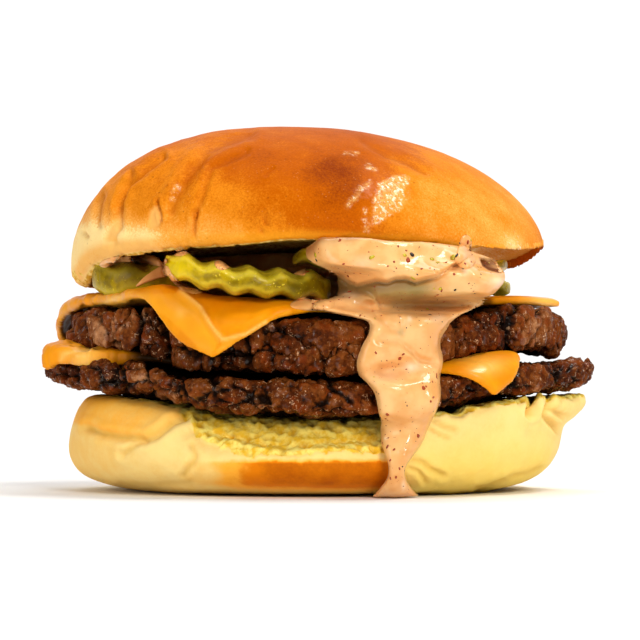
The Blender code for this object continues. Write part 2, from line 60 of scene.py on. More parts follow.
CAMERA_HEIGHT = 22.0
CAMERA_PITCH = 1.45
CAMERA_LENS = 153.4
CAMERA_SENSOR = 36.0
WELD_REACH = 1e-6
HIDDEN_SHARE = 0.12
EASE_SHARE = 0.5
EASE_BACK = 0.52
FILM_GAP = 0.03
FLOOR_DROP = 0.0001

Array = np.ndarray
Line = Sequence[Sequence[float]]
Colour = tuple[float, float, float]


def smooth(low: float, high: float, value: Array) -> Array:
    """Gives a smooth step."""
    t = np.clip((value - low) / (high - low), 0.0, 1.0)
    return t * t * (3.0 - 2.0 * t)


def seen(p: Array) -> Array:
    """Finds where the camera sees points on the front plane.

    Args:
        p: points, one a row.

    Returns:
        Their (x, z) places, one a row.
    """
    share = (CAMERA_DISTANCE + FRONT_PLANE) / (CAMERA_DISTANCE + p[:, 1])
    x = CAMERA_X + (p[:, 0] - CAMERA_X) * share
    return np.column_stack((x, CAMERA_HEIGHT + (p[:, 2] - CAMERA_HEIGHT) * share))


def line_distance(v: Array, line: Line) -> Array:
    """Measures how far places are from a line drawn on the front plane.

    Args:
        v: (x, z) places, one a row.
        line: (x, z) places joined in order.

    Returns:
        The distance of each place.
    """
    best = np.full(len(v), 1e9)
    for a, b in zip(line[:-1], line[1:]):
        start, step = np.array(a, float), np.array(b, float) - np.array(a, float)
        t = np.clip(((v - start) @ step) / (step @ step), 0.0, 1.0)
        best = np.minimum(best, np.linalg.norm(v - start - t[:, None] * step, axis=1))
    return best


def stroke(v: Array, line: Line, width: float) -> Array:
    """Marks a line softly, with 1 on it, falling to 0 on both sides."""
    return np.exp(-((line_distance(v, line) / width) ** 2))


def line_height(v: Array, line: Line) -> Array:
    """Reads the z of a line, drawn from left to right, at the x of each place."""
    return np.interp(v[:, 0], *np.array(line, float).T)


def from_middle(p: Array) -> Array:
    """Measures how far points are from the burger's upright middle line."""
    return np.hypot(p[:, 0], p[:, 1])


def groove(v: Array, line: Line, width: float) -> Array:
    """Gives a rounded groove of depth 1 along a line, with a low bank on both sides."""
    away = line_distance(v, line) / width
    return 0.35 * np.exp(-((away - 2.3) ** 2)) - np.exp(-(away**2))


def hills(v: Array, table: Sequence[Sequence[float]]) -> Array:
    """Sums rounded hills on the front plane.

    Args:
        v: (x, z) places, one a row.
        table: (x, z, reach in x, reach in z, height) of each hill.

    Returns:
        The summed height at each place.
    """
    total = np.zeros(len(v))
    for x, z, reach_x, reach_z, height in table:
        total += height * np.exp(-(((v[:, 0] - x) / reach_x) ** 2) - ((v[:, 1] - z) / reach_z) ** 2)
    return total


def ledge(v: Array, line: Line, crisp: float, reach: float) -> Array:
    """Gives a fold that hangs over what lies below a line.

    Args:
        v: (x, z) places, one a row.
        line: the fold's lower edge, from left to right.
        crisp: how wide the step down is.
        reach: how far up the fold swells.

    Returns:
        The height at each place: up to 1 above the line and down to -0.6 under it.
    """
    first, last = line[0][0], line[-1][0]
    rise = v[:, 1] - line_height(v, line)
    ends = smooth(first - 2.0, first + 1.0, v[:, 0]) * smooth(last + 2.0, last - 1.0, v[:, 0])
    above = smooth(-0.5 * crisp, crisp, rise) * np.exp(-((np.maximum(rise, 0.0) / reach) ** 2))
    below = np.exp(-(((rise + 0.8 * crisp) / crisp) ** 2))
    return ends * (above - 0.6 * below * (1.0 - smooth(-0.5 * crisp, crisp, rise)))


def flipped(v: Array, line: Line) -> tuple[Array, Line]:
    """Turns places and a line upside down, for a ledge that swells below its line."""
    return v * np.array((1.0, -1.0)), [(x, -z) for x, z in line]


def within(v: Array, outline: Line, soft: float) -> Array:
    """Marks places inside a closed outline on the front plane.

    Args:
        v: (x, z) places, one a row.
        outline: its corners in order.
        soft: how wide the change at the outline is.

    Returns:
        1 inside, 0 outside.
    """
    corners = np.array(outline, float)
    inside = np.zeros(len(v), bool)
    for (ax, az), (bx, bz) in zip(corners, np.roll(corners, -1, axis=0)):
        crosses = (az > v[:, 1]) != (bz > v[:, 1])
        where = ax + (v[:, 1] - az) * (bx - ax) / (bz - az if bz != az else 1e-9)
        inside ^= crosses & (v[:, 0] < where)
    away = line_distance(v, np.vstack((corners, corners[:1])))
    return np.where(inside, smooth(0.0, soft, away), 0.0)


def read(items: bpy.types.bpy_prop_collection, what: str, width: int, kind: type = float) -> Array:
    """Reads a property of all parts of a mesh.

    Args:
        items: the mesh's points, edges or triangles.
        what: Blender's name of the property.
        width: how many numbers each part has.
        kind: the type of the numbers.

    Returns:
        The numbers, one part a row.
    """
    numbers = np.empty(len(items) * width, kind)
    items.foreach_get(what, numbers)
    return numbers.reshape(-1, width)


def linked(name: str, data: bpy.types.ID) -> bpy.types.Object:
    """Makes an object and links it to the scene.

    Args:
        name: the object's name.
        data: its mesh, lamp or camera.

    Returns:
        The object.
    """
    made = bpy.data.objects.new(name, data)
    bpy.context.scene.collection.objects.link(made)
    return made


class Grain:
    """Repeatable noise over arrays of points."""

    @staticmethod
    def scramble(cells: Array, seed: int) -> Array:
        """Turns whole-number cells into numbers from 0 to 1, three for each.

        Args:
            cells: whole-number places, one a row.
            seed: picks the draw.

        Returns:
            Three numbers for each cell.
        """
        c = cells.astype(np.int64)
        h = c[:, 0] * 374761393 + c[:, 1] * 668265263 + c[:, 2] * 2246822519 + seed * 3266489917
        out = np.empty((len(c), 3))
        for k in range(3):
            h = (h ^ (h >> 13)) & 0xFFFFFFFF
            h = (h * 1274126177 + k * 97 + 11) & 0xFFFFFFFF
            h = (h ^ (h >> 16)) & 0xFFFFFFFF
            out[:, k] = h / 4294967296.0
        return out

    @classmethod
    def soft(cls, p: Array, scale: float, seed: int = 0) -> Array:
        """Gives smooth gradient noise from about -1 to 1.

        Args:
            p: points, one a row.
            scale: the size of a feature.
            seed: picks the draw.

        Returns:
            The noise at each point.
        """
        q = p / scale
        base = np.floor(q)
        f = q - base
        u = f * f * f * (f * (f * 6.0 - 15.0) + 10.0)
        total = np.zeros(len(q))
        for corner in range(8):
            d = np.array(((corner >> 2) & 1, (corner >> 1) & 1, corner & 1), float)
            slope = cls.scramble(base + d, seed) * 2.0 - 1.0
            weight = np.prod(np.where(d > 0, u, 1.0 - u), axis=1)
            total += weight * ((f - d) * slope).sum(axis=1)
        return total * 1.5

    @classmethod
    def layers(cls, p: Array, scale: float, count: int, seed: int = 0, ridged: bool = False) -> Array:
        """Sums noise of finer and finer features.

        Args:
            p: points, one a row.
            scale: the size of the largest feature.
            count: how many sizes.
            seed: picks the draw.
            ridged: whether it is folded into ridges.

        Returns:
            The summed noise at each point.
        """
        total = np.zeros(len(p))
        weight, norm = 1.0, 0.0
        for k in range(count):
            value = cls.soft(p, scale / 2.0**k, seed + 17 * k)
            total += weight * ((1.0 - 2.0 * np.abs(value)) if ridged else value)
            norm += weight
            weight *= 0.5
        return total / norm

    @classmethod
    def cells(cls, p: Array, scale: float, seed: int = 0) -> tuple[Array, Array, Array]:
        """Measures the two nearest of a set of scattered points.

        Args:
            p: points, one a row.
            scale: the spacing of the scattered points.
            seed: picks the draw.

        Returns:
            The nearest distance, the next, and a number of its own for each cell.
        """
        q = p / scale
        base = np.floor(q)
        near = np.full(len(q), 9.0)
        next_near = np.full(len(q), 9.0)
        own = np.zeros(len(q))
        for i in (-1, 0, 1):
            for j in (-1, 0, 1):
                for k in (-1, 0, 1):
                    cell = base + np.array((i, j, k), float)
                    jitter = cls.scramble(cell, seed)
                    away = np.linalg.norm(cell + jitter - q, axis=1)
                    closer = away < near
                    next_near = np.where(closer, near, np.minimum(next_near, away))
                    own = np.where(closer, jitter[:, 0], own)
                    near = np.where(closer, away, near)
        return near, next_near, own


class Socket:
    """A number in a material, on which sums make more nodes."""

    def __init__(self, paint: "Paint", output: bpy.types.NodeSocket) -> None:
        """Wraps one output of a paint's nodes."""
        self.paint = paint
        self.output = output

    def sum(self, operation: str, other: "Socket | float", turned: bool = False) -> "Socket":
        """Adds a Math node.

        Args:
            operation: Blender's name of the operation.
            other: the second number.
            turned: whether the second number comes first.

        Returns:
            The result.
        """
        first, second = (other, self) if turned else (self, other)
        made = self.paint.node("ShaderNodeMath", {"operation": operation}, {0: first, 1: second})
        return Socket(self.paint, made.outputs[0])

    def __add__(self, other: "Socket | float") -> "Socket":
        """Adds a number."""
        return self.sum("ADD", other)

    def __radd__(self, other: float) -> "Socket":
        """Adds this to a plain number."""
        return self.sum("ADD", other, True)

    def __sub__(self, other: "Socket | float") -> "Socket":
        """Takes a number away."""
        return self.sum("SUBTRACT", other)

    def __rsub__(self, other: float) -> "Socket":
        """Takes this away from a plain number."""
        return self.sum("SUBTRACT", other, True)

    def __mul__(self, other: "Socket | float") -> "Socket":
        """Multiplies by a number."""
        return self.sum("MULTIPLY", other)

    def __rmul__(self, other: float) -> "Socket":
        """Multiplies a plain number by this."""
        return self.sum("MULTIPLY", other, True)

    def step(self, low: float, high: float) -> "Socket":
        """Gives a smooth step of this number.

        Args:
            low: where it starts, at 0.
            high: where it ends, at 1.

        Returns:
            The step.
        """
        made = self.paint.node(
            "ShaderNodeMapRange",
            {"interpolation_type": "SMOOTHSTEP"},
            {"Value": self, "From Min": low, "From Max": high},
        )
        return Socket(self.paint, made.outputs[0])


@dataclass(frozen=True)
class Finish:
    """How a surface shines.

    Args:
        rough: roughness.
        coat: how much clear coat lies on it.
        coat_rough: that coat's roughness.
        deep: how much light scatters inside it.
        deep_reach: how far that light goes, for red, green and blue, in millimetres.
        ior: the refractive index.
    """

    rough: float = 0.5
    coat: float = 0.0
    coat_rough: float = 0.2
    deep: float = 0.0
    deep_reach: tuple[float, float, float] = (1.0, 0.5, 0.25)
    ior: float = 1.45


class Food(Enum):
    """The finishes of the foods."""

    CRUST = Finish(0.5, 0.03, 0.18, 0.0, (1.0, 0.6, 0.3), 1.07)
    CRUMB = Finish(0.75, 0.0, 0.3, 0.08, (1.6, 1.2, 0.5), 1.15)
    BEEF = Finish(0.4, 0.3, 0.12, 0.0, (1.0, 0.4, 0.2), 1.12)
    CHEESE = Finish(0.38, 0.2, 0.14, 0.12, (1.6, 0.8, 0.1), 1.2)
    PICKLE = Finish(0.3, 0.14, 0.08, 0.2, (1.6, 1.3, 0.1), 1.14)
    SAUCE = Finish(0.3, 0.55, 0.06, 0.1, (1.4, 0.9, 0.5), 1.2)
    SPECK = Finish(0.4, 0.3, 0.2, 0.0, (1.0, 0.5, 0.2), 1.4)


class Paint:
    """A material built from nodes."""

    def __init__(self, name: str, finish: Finish) -> None:
        """Starts a material.

        Args:
            name: its name.
            finish: how it shines.
        """
        self.material = bpy.data.materials.new(name)
        self.material.use_nodes = True
        self.tree = self.material.node_tree
        self.shader = self.tree.nodes["Principled BSDF"]
        self.coordinates = self.tree.nodes.new("ShaderNodeTexCoord").outputs["Object"]
        values = {
            "Roughness": finish.rough,
            "Coat Weight": finish.coat,
            "Coat Roughness": finish.coat_rough,
            "Subsurface Weight": finish.deep,
            "Subsurface Radius": finish.deep_reach,
            "Subsurface Scale": MM,
            "IOR": finish.ior,
        }
        for socket, value in values.items():
            self.shader.inputs[socket].default_value = value

    def node(self, kind: str, settings: dict, inputs: dict) -> bpy.types.Node:
        """Adds a node.

        Args:
            kind: Blender's name of its type.
            settings: its properties.
            inputs: numbers, colours, sockets or Socket objects for its inputs.

        Returns:
            The node.
        """
        made = self.tree.nodes.new(kind)
        for key, value in settings.items():
            setattr(made, key, value)
        for key, value in inputs.items():
            self.put(made.inputs[key], value)
        return made

    def put(self, target: bpy.types.NodeSocket, value: object) -> None:
        """Sets or links one input.

        Args:
            target: the input.
            value: a number, a colour, a socket or a Socket.
        """
        if isinstance(value, Socket):
            self.tree.links.new(value.output, target)
        elif isinstance(value, bpy.types.NodeSocket):
            self.tree.links.new(value, target)
        elif isinstance(value, (tuple, list)) and len(value) == 3 and target.type == "RGBA":
            target.default_value = (*value, 1.0)
        else:
            target.default_value = value

    def mark(self, name: str) -> Socket:
        """Reads a number that the mesh holds at each point."""
        made = self.node("ShaderNodeAttribute", {"attribute_name": name}, {})
        return Socket(self, made.outputs["Fac"])

    def noise(self, size: float, detail: float = 3.0, rough: float = 0.55, warp: float = 0.0) -> Socket:
        """Adds noise with features of a size.

        Args:
            size: the feature's size in millimetres.
            detail: how many finer layers it has.
            rough: how strong they are.
            warp: how much it is pushed about.

        Returns:
            The noise, from 0 to 1.
        """
        made = self.node(
            "ShaderNodeTexNoise",
            {},
            {
                "Vector": self.coordinates,
                "Scale": 1.0 / (size * MM),
                "Detail": detail,
                "Roughness": rough,
                "Distortion": warp,
            },
        )
        return Socket(self, made.outputs[0])

    def spots(self, size: float) -> Socket:
        """Adds a pattern of scattered spots."""
        inputs = {"Vector": self.coordinates, "Scale": 1.0 / (size * MM)}
        return Socket(self, self.node("ShaderNodeTexVoronoi", {}, inputs).outputs["Distance"])

    def mix(self, amount: Socket | float, low: object, high: object) -> bpy.types.NodeSocket:
        """Mixes two colours.

        Args:
            amount: 0 gives the first and 1 the second.
            low: the first colour.
            high: the second colour.

        Returns:
            The mixed colour.
        """
        made = self.node("ShaderNodeMix", {"data_type": "RGBA"}, {})
        self.put(made.inputs[0], amount)
        self.put(made.inputs[6], low)
        self.put(made.inputs[7], high)
        return made.outputs[2]

    def layered(self, base: object, *coats: tuple[Socket, object]) -> bpy.types.NodeSocket:
        """Lays colours over one another.

        Args:
            base: the lowest colour.
            coats: (amount, colour) of each one over it, in order.

        Returns:
            The mixed colour.
        """
        for amount, colour in coats:
            base = self.mix(amount, base, colour)
        return base

    def bump(self, height: Socket, distance: float, strength: float) -> None:
        """Lets a height roughen the surface.

        Args:
            height: the height, in parts of the distance.
            distance: the full height in millimetres.
            strength: how much it counts.
        """
        inputs = {"Height": height, "Distance": distance * MM, "Strength": strength}
        made = self.node("ShaderNodeBump", {}, inputs)
        self.put(self.shader.inputs["Normal"], made.outputs["Normal"])

    def colour(self, value: object) -> None:
        """Sets the base colour."""
        self.put(self.shader.inputs["Base Color"], value)

    def rough(self, value: Socket | float) -> None:
        """Sets the roughness."""
        self.put(self.shader.inputs["Roughness"], value)

    def coat(self, value: Socket) -> None:
        """Sets how much clear coat there is."""
        self.put(self.shader.inputs["Coat Weight"], value)


def rgb(red: int, green: int, blue: int) -> Colour:
    """Turns a screen colour into the linear one that shaders use.

    Args:
        red: from 0 to 255.
        green: from 0 to 255.
        blue: from 0 to 255.

    Returns:
        The linear colour.
    """
    def line(v: float) -> float:
        """Makes one of the three numbers linear."""
        v /= 255.0
        return v / 12.92 if v <= 0.04045 else ((v + 0.055) / 1.055) ** 2.4

    return line(red), line(green), line(blue)


class Skin:
    """A dense mesh made from a solid, which detail can move and mark."""

    def __init__(self, mesh: bpy.types.Mesh) -> None:
        """Reads the points and edges of a mesh.

        Args:
            mesh: the mesh.
        """
        self.mesh = mesh
        self.points = read(mesh.vertices, "co", 3) / MM
        self.ends = read(mesh.edges, "vertices", 2, np.int64)
        self.marks: dict[str, Array] = {}

    @classmethod
    def of_node(
        cls, name: str, voxel: float, ease: int, hidden: Callable[[Array, Array], Array]
    ) -> "Skin":
        """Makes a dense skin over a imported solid, with larger faces where nothing shows.

        Args:
            name: the solid's node.
            voxel: the size of its faces in millimetres.
            ease: how often it is smoothed.
            hidden: tells from points and the ways they face which ones other food covers.

        Returns:
            The skin.
        """
        copy = linked("work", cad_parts[name].data.copy())
        weld = copy.modifiers.new("weld", "WELD")
        weld.merge_threshold = WELD_REACH
        rounded = copy.modifiers.new("rounded", "SUBSURF")
        rounded.levels = rounded.render_levels = 2
        remesh = copy.modifiers.new("remesh", "REMESH")
        remesh.mode = "VOXEL"
        remesh.voxel_size = voxel * MM
        skin = cls(cls.settled(copy))
        skin.ease(ease)
        covered = hidden(skin.place, skin.normals())
        if covered.any():
            copy = linked("work", skin.mesh)
            group = copy.vertex_groups.new(name="covered")
            group.add(np.flatnonzero(covered).tolist(), 1.0, "REPLACE")
            thin = copy.modifiers.new("thin", "DECIMATE")
            thin.ratio = 1.0 - float(covered.mean()) * (1.0 - HIDDEN_SHARE)
            thin.vertex_group = "covered"
            thin.use_collapse_triangulate = True
            skin = cls(cls.settled(copy))
        return skin

    @staticmethod
    def settled(copy: bpy.types.Object) -> bpy.types.Mesh:
        """Applies the modifiers of a working copy and drops it.

        Args:
            copy: the working copy.

        Returns:
            The mesh that its modifiers make.
        """
        graph = bpy.context.evaluated_depsgraph_get()
        mesh = bpy.data.meshes.new_from_object(copy.evaluated_get(graph))
        bpy.data.objects.remove(copy)
        return mesh

    def ease(self, times: int) -> None:
        """Smooths the skin and puts back most of what that shrinks.

        Args:
            times: how many rounds.
        """
        first, second = self.ends.T
        count = len(self.points)
        degree = np.bincount(self.ends.ravel(), minlength=count)[:, None]
        for k in range(2 * times):
            total = np.empty_like(self.points)
            for axis in range(3):
                flat = self.points[:, axis]
                a = np.bincount(first, weights=flat[second], minlength=count)
                b = np.bincount(second, weights=flat[first], minlength=count)
                total[:, axis] = a + b
            move = total / np.maximum(degree, 1) - self.points
            self.points += move * (EASE_SHARE if k % 2 == 0 else -EASE_BACK)

    def write(self) -> None:
        """Puts the points into the mesh."""
        self.mesh.vertices.foreach_set("co", (self.points * MM).ravel())
        self.mesh.update()

    def normals(self) -> Array:
        """Reads the direction that each point faces."""
        self.write()
        return read(self.mesh.vertices, "normal", 3, np.float32).astype(float)

    def push(self, amount: Array) -> None:
        """Moves each point along the way it faces."""
        self.points += self.normals() * amount[:, None]

    def forward(self, amount: Array) -> None:
        """Moves each point towards the front."""
        self.points[:, 1] -= amount

    @property
    def place(self) -> Array:
        """The points about the burger's own middle."""
        return self.points - SHIFT

    def finish(self, name: str, paint: Paint, slot: str, replaces: str | None) -> bpy.types.Object:
        """Makes the shown piece.

        Args:
            name: the piece's name.
            paint: its material.
            slot: the record's material slot; not used.
            replaces: the node it stands for, or None.

        Returns:
            The piece.
        """
        self.write()
        for key, value in self.marks.items():
            layer = self.mesh.attributes.new(key, "FLOAT", "POINT")
            layer.data.foreach_set("value", value.astype(np.float32))
        self.mesh.shade_smooth()
        return show(name, self.mesh, paint, replaces)


def show(
    name: str, mesh: bpy.types.Mesh, paint: Paint, replaces: str | None
) -> bpy.types.Object:
    """Links a mesh as a piece of the burger.

    Args:
        name: the piece's name.
        mesh: its mesh.
        paint: its material.
        replaces: the node it stands for, or None.

    Returns:
        The piece.
    """
    mesh.name = name
    mesh.materials.clear()
    mesh.materials.append(paint.material)
    piece = linked(name, mesh)
    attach(piece, "root")
    if replaces:
        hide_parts(replaces)
    LOG.info("%s: %d points", name, len(mesh.vertices))
    return piece


@dataclass
class Crown:
    """The glazed top bun.

    Args:
        voxel: the size of its faces in millimetres.
        middle: the x of its middle.
        half_width: its reach from there in x.
        half_depth: its reach in y.
        creases: (line, depth, half width) of each fold line in its skin, whose valley is also painted darker
            as painted shade.
        browned: (x, z, reach in x, reach in z, amount) of its darker and paler places.
        gloss: where the glaze breaks the light, in the same way.
        sheen: the outline of its widest shiny place, where a highlight is painted into the colour and clear
            coat is added.
        glints: (line, half width) of its thin, wrinkled shiny streaks, which are painted as highlights and
            get clear coat like the widest shiny place.
        flakes: where the skin has torn off.
        lip: the outline of the crumb that shows at its left rim.
        dents: two small dents in its skin, as its gloss is given.
    """

    voxel: float = 0.56
    middle: float = -2.6
    half_width: float = 52.1
    half_depth: float = 51.6
    creases: tuple = (
        (((-31.4, 68.8), (-34.8, 66.2), (-39.0, 62.7), (-40.0, 59.9), (-40.2, 54.6)), 0.55, 0.8),
        (((-37.6, 65.6), (-39.2, 62.0), (-40.4, 58.6)), 0.3, 0.6),
        (((-43.5, 61.3), (-44.2, 59.5), (-44.5, 56.9), (-44.3, 54.7)), 0.4, 0.7),
        (((-47.3, 53.7), (-46.6, 52.7)), 0.4, 0.5),
        (
            ((-14.0, 73.6), (-18.9, 72.0), (-22.3, 70.4), (-26.5, 64.8), (-29.0, 59.9), (-29.8, 57.9)),
            0.5, 1.2,
        ),
        (((-14.6, 70.0), (-21.6, 66.6), (-23.3, 61.3), (-24.9, 56.8)), 0.3, 0.7),
        (((-24.7, 57.6), (-25.2, 53.4), (-25.4, 50.2)), 0.5, 0.5),
        (((-9.2, 66.6), (-10.5, 65.2)), 0.25, 0.4),
        (((-10.9, 57.2), (-10.3, 55.3)), 0.3, 0.5),
        (((-11.5, 54.1), (-11.4, 51.8)), 0.35, 0.5),
        (((9.0, 72.2), (13.6, 69.2), (17.6, 67.9), (21.7, 65.6)), 0.25, 0.8),
        (((-32.4, 59.9), (-32.0, 58.0), (-31.6, 56.0)), 0.55, 0.4),
    )
    browned: tuple = (
        (-12.8, 66.0, 12.0, 5.0, 0.26),
        (5.0, 63.5, 8.0, 8.0, 0.46),
        (-2.0, 58.0, 14.0, 7.0, 0.24),
        (-36.0, 51.5, 14.0, 4.5, -0.42),
        (39.0, 50.4, 2.4, 3.0, -0.3),
        (-47.0, 49.0, 6.0, 8.0, -0.34),
        (-16.0, 53.0, 10.0, 4.0, -0.14),
        (26.0, 61.0, 11.0, 9.0, -0.12),
        (39.0, 58.0, 8.0, 8.0, -0.12),
        (8.0, 53.0, 9.0, 3.0, 0.14),
        (20.0, 51.0, 4.5, 0.8, 0.7),
        (34.0, 49.0, 5.0, 1.0, 0.45),
        (40.0, 62.0, 2.0, 0.8, 0.3),
    )
    gloss: tuple = (
        (15.4, 63.2, 4.5, 3.4, 1.0),
        (11.6, 57.4, 1.4, 5.6, 0.9),
        (9.0, 61.5, 2.6, 2.0, 0.8),
        (-29.4, 61.5, 1.8, 2.6, 0.7),
        (-22.0, 71.0, 4.0, 1.2, 0.5),
        (10.0, 67.0, 1.6, 1.2, 0.6),
        (-37.0, 59.2, 1.2, 0.8, 0.5),
        (37.4, 49.6, 2.6, 2.6, 0.8),
    )
    sheen: tuple = (
        (11.7, 63.8), (13.9, 64.9), (16.2, 65.5), (18.2, 64.9), (18.7, 63.5), (17.7, 62.1), (17.6, 60.1),
        (17.3, 58.4), (15.9, 57.5), (14.8, 56.7), (13.4, 55.8), (11.9, 55.0), (10.8, 54.7), (10.5, 56.1),
        (11.1, 58.4), (10.8, 60.1), (11.7, 61.5),
    )
    glints: tuple = (
        (((10.2, 63.8), (8.6, 62.4), (7.6, 60.6), (6.0, 58.9)), 0.5),
        (((10.0, 66.9), (11.4, 66.6)), 0.45),
        (((5.1, 69.6), (8.0, 69.8)), 0.3),
        (((9.4, 58.0), (9.8, 54.0)), 0.4),
        (((-28.4, 63.0), (-29.6, 60.6)), 0.45),
        (((38.6, 52.4), (40.6, 51.2), (41.0, 49.6), (38.4, 48.6), (36.0, 47.6)), 0.9),
    )
    flakes: tuple = (
        ((-32.4, 59.4), (-34.2, 58.2), (-34.9, 55.2), (-34.2, 53.8), (-31.6, 54.6), (-31.4, 56.8)),
        ((-40.3, 57.6), (-41.4, 56.4), (-44.0, 51.8), (-40.8, 51.0), (-39.9, 53.6)),
    )
    lip: tuple = ((-50.6, 47.0), (-47.4, 45.6), (-45.6, 42.4), (-46.0, 40.6), (-51.0, 44.0))
    dents: tuple = ((17.5, 61.0, 0.5, 0.5, 0.4), (-41.3, 51.2, 1.0, 0.5, 0.5))

    def hidden(self, p: Array, n: Array) -> Array:
        """Tells which points the fillings cover."""
        return (n[:, 2] < -0.5) & (np.hypot(p[:, 0] - self.middle, p[:, 1]) < 40.0)

    def build(self) -> Skin:
        """Models the skin with its creases, flakes and rough lower edge.

        Returns:
            The skin.
        """
        skin = Skin.of_node("bun_top", self.voxel, 12, self.hidden)
        p, n = skin.place, skin.normals()
        v = seen(p)
        front = smooth(4.0, -10.0, p[:, 1])
        outer = smooth(-0.55, -0.1, n[:, 2])
        across = np.hypot((p[:, 0] - self.middle) / self.half_width, p[:, 1] / self.half_depth)
        crumb = np.maximum(smooth(0.965, 0.935, across), smooth(-0.75, -0.95, n[:, 2]))
        crumb *= n[:, 2] < 0.0
        right = smooth(24.0, 32.0, p[:, 0]) * smooth(38.0, 24.0, p[:, 1])
        crumb *= 1.0 - 0.9 * right * smooth(0.5, 0.6, across)
        move = 0.25 * Grain.layers(p, 24.0, 2, 3) * outer
        crease = np.zeros(len(p))
        bent = v + 0.3 * np.column_stack((Grain.layers(p, 2.4, 2, 26), Grain.layers(p, 2.4, 2, 27)))
        facing = smooth(-0.02, -0.3, n[:, 1]) * outer
        for line, depth, width in self.creases:
            move += 1.7 * depth * groove(bent, line, 0.85 * width) * facing
            # The crease valleys are marked to be painted darker, as painted shade.
            crease = np.maximum(crease, stroke(bent, line, 0.5 * width) * facing)
        x, y, z = p.T
        flow = np.column_stack((x * 0.9 + 0.35 * z, y * 0.9, 0.4 * z - 0.4 * x))
        left = smooth(2.0, -36.0, p[:, 0])
        move += (0.05 + 0.13 * left) * Grain.layers(flow, 6.0, 3, 8, True) * outer
        gloss = np.clip(hills(v, self.gloss), 0.0, 1.0) * front
        crinkle = Grain.layers(p * np.array((1.4, 1.0, 0.8)), 2.2, 3, 12, True)
        wander = 0.7 * np.column_stack((Grain.layers(p, 2.0, 3, 17), Grain.layers(p, 2.2, 3, 18)))
        # The widest shiny place and the glint streaks are painted into the colour as highlights, and also
        # get clear coat and fine relief.
        sheen = within(v + wander, self.sheen, 0.6) * front
        for line, width in self.glints:
            streak = stroke(v + wander, line, width) * front
            sheen = np.maximum(sheen, streak * smooth(-0.25, 0.15, Grain.layers(p, 1.6, 2, 24)))
        sheen *= 0.55 + 0.45 * smooth(-0.3, 0.1, Grain.layers(p, 1.8, 3, 25))
        move += 0.2 * gloss * crinkle + 0.1 * sheen * Grain.layers(p, 1.1, 2, 19)
        flaked = np.zeros(len(p))
        for outline in self.flakes:
            flaked = np.maximum(flaked, within(v, outline, 0.7) * front)
        move -= flaked * (0.5 + 0.3 * Grain.layers(p, 1.3, 2, 14))
        move -= hills(v, self.dents) * front
        # The lower rim is painted a lighter gold: partly the crust's own edge colour, partly painted light
        # on its shaded underside.
        rim = smooth(0.1, -0.4, n[:, 2]) * smooth(0.93, 0.97, across)
        move += rim * 0.2 * Grain.layers(p, 1.1, 2, 15) + 0.3 * rim * Grain.layers(p, 5.0, 2, 16)
        holes, _, _ = Grain.cells(p, 2.4, 5)
        move -= crumb * (0.6 * smooth(0.5, 0.2, holes) + 0.3 * np.abs(Grain.layers(p, 3.0, 2, 4)))
        skin.push(move)
        rise = smooth(29.0, 38.0, x) * smooth(0.1, -0.5, n[:, 2]) * smooth(38.0, 24.0, y)
        skin.points[:, 2] += (2.2 + 0.8 * smooth(-10.0, 10.0, y)) * rise
        toast = 0.5 + 0.2 * Grain.layers(p, 17.0, 3, 21) + hills(v, self.browned) * front
        toast += 0.22 * smooth(60.0, 76.0, z) - 0.3 * smooth(-30.0, -54.0, x) * smooth(66.0, 48.0, z)
        # Painted light: the right underside, which lies in shade, is painted paler.
        toast -= 0.35 * right * smooth(0.1, -0.4, n[:, 2])
        toast += 0.1 * crinkle * smooth(0.2, 0.8, Grain.layers(p, 12.0, 2, 22) + 0.5)
        skin.marks["toast"] = np.clip(toast, 0.0, 1.3)
        lip = within(v, self.lip, 0.8) * front * smooth(-0.1, 0.5, Grain.layers(p, 2.2, 2, 23) + 0.3)
        skin.marks["crumb"] = np.maximum(crumb, 0.8 * lip)
        skin.marks["flake"] = flaked
        skin.marks["crease"] = crease
        skin.marks["gloss"] = gloss
        skin.marks["sheen"] = sheen
        skin.marks["rim"] = rim * (1.0 - crumb)
        return skin

    def dress(self, skin: Skin) -> bpy.types.Object:
        """Paints the crust.

        Args:
            skin: the built skin.

        Returns:
            The piece.
        """
        paint = Paint("bun_crust", Food.CRUST.value)
        toast = paint.mark("toast") + (paint.noise(5.0, 5.0) - 0.5) * 0.34
        toast = toast + (paint.noise(0.42, 3.0, 0.7) - 0.5) * 0.6
        pores = paint.spots(1.9).step(0.16, 0.06) * paint.noise(6.0, 2.0).step(0.45, 0.6)
        pale = paint.spots(0.9).step(0.2, 0.06) * paint.noise(3.0, 2.0).step(0.5, 0.6)
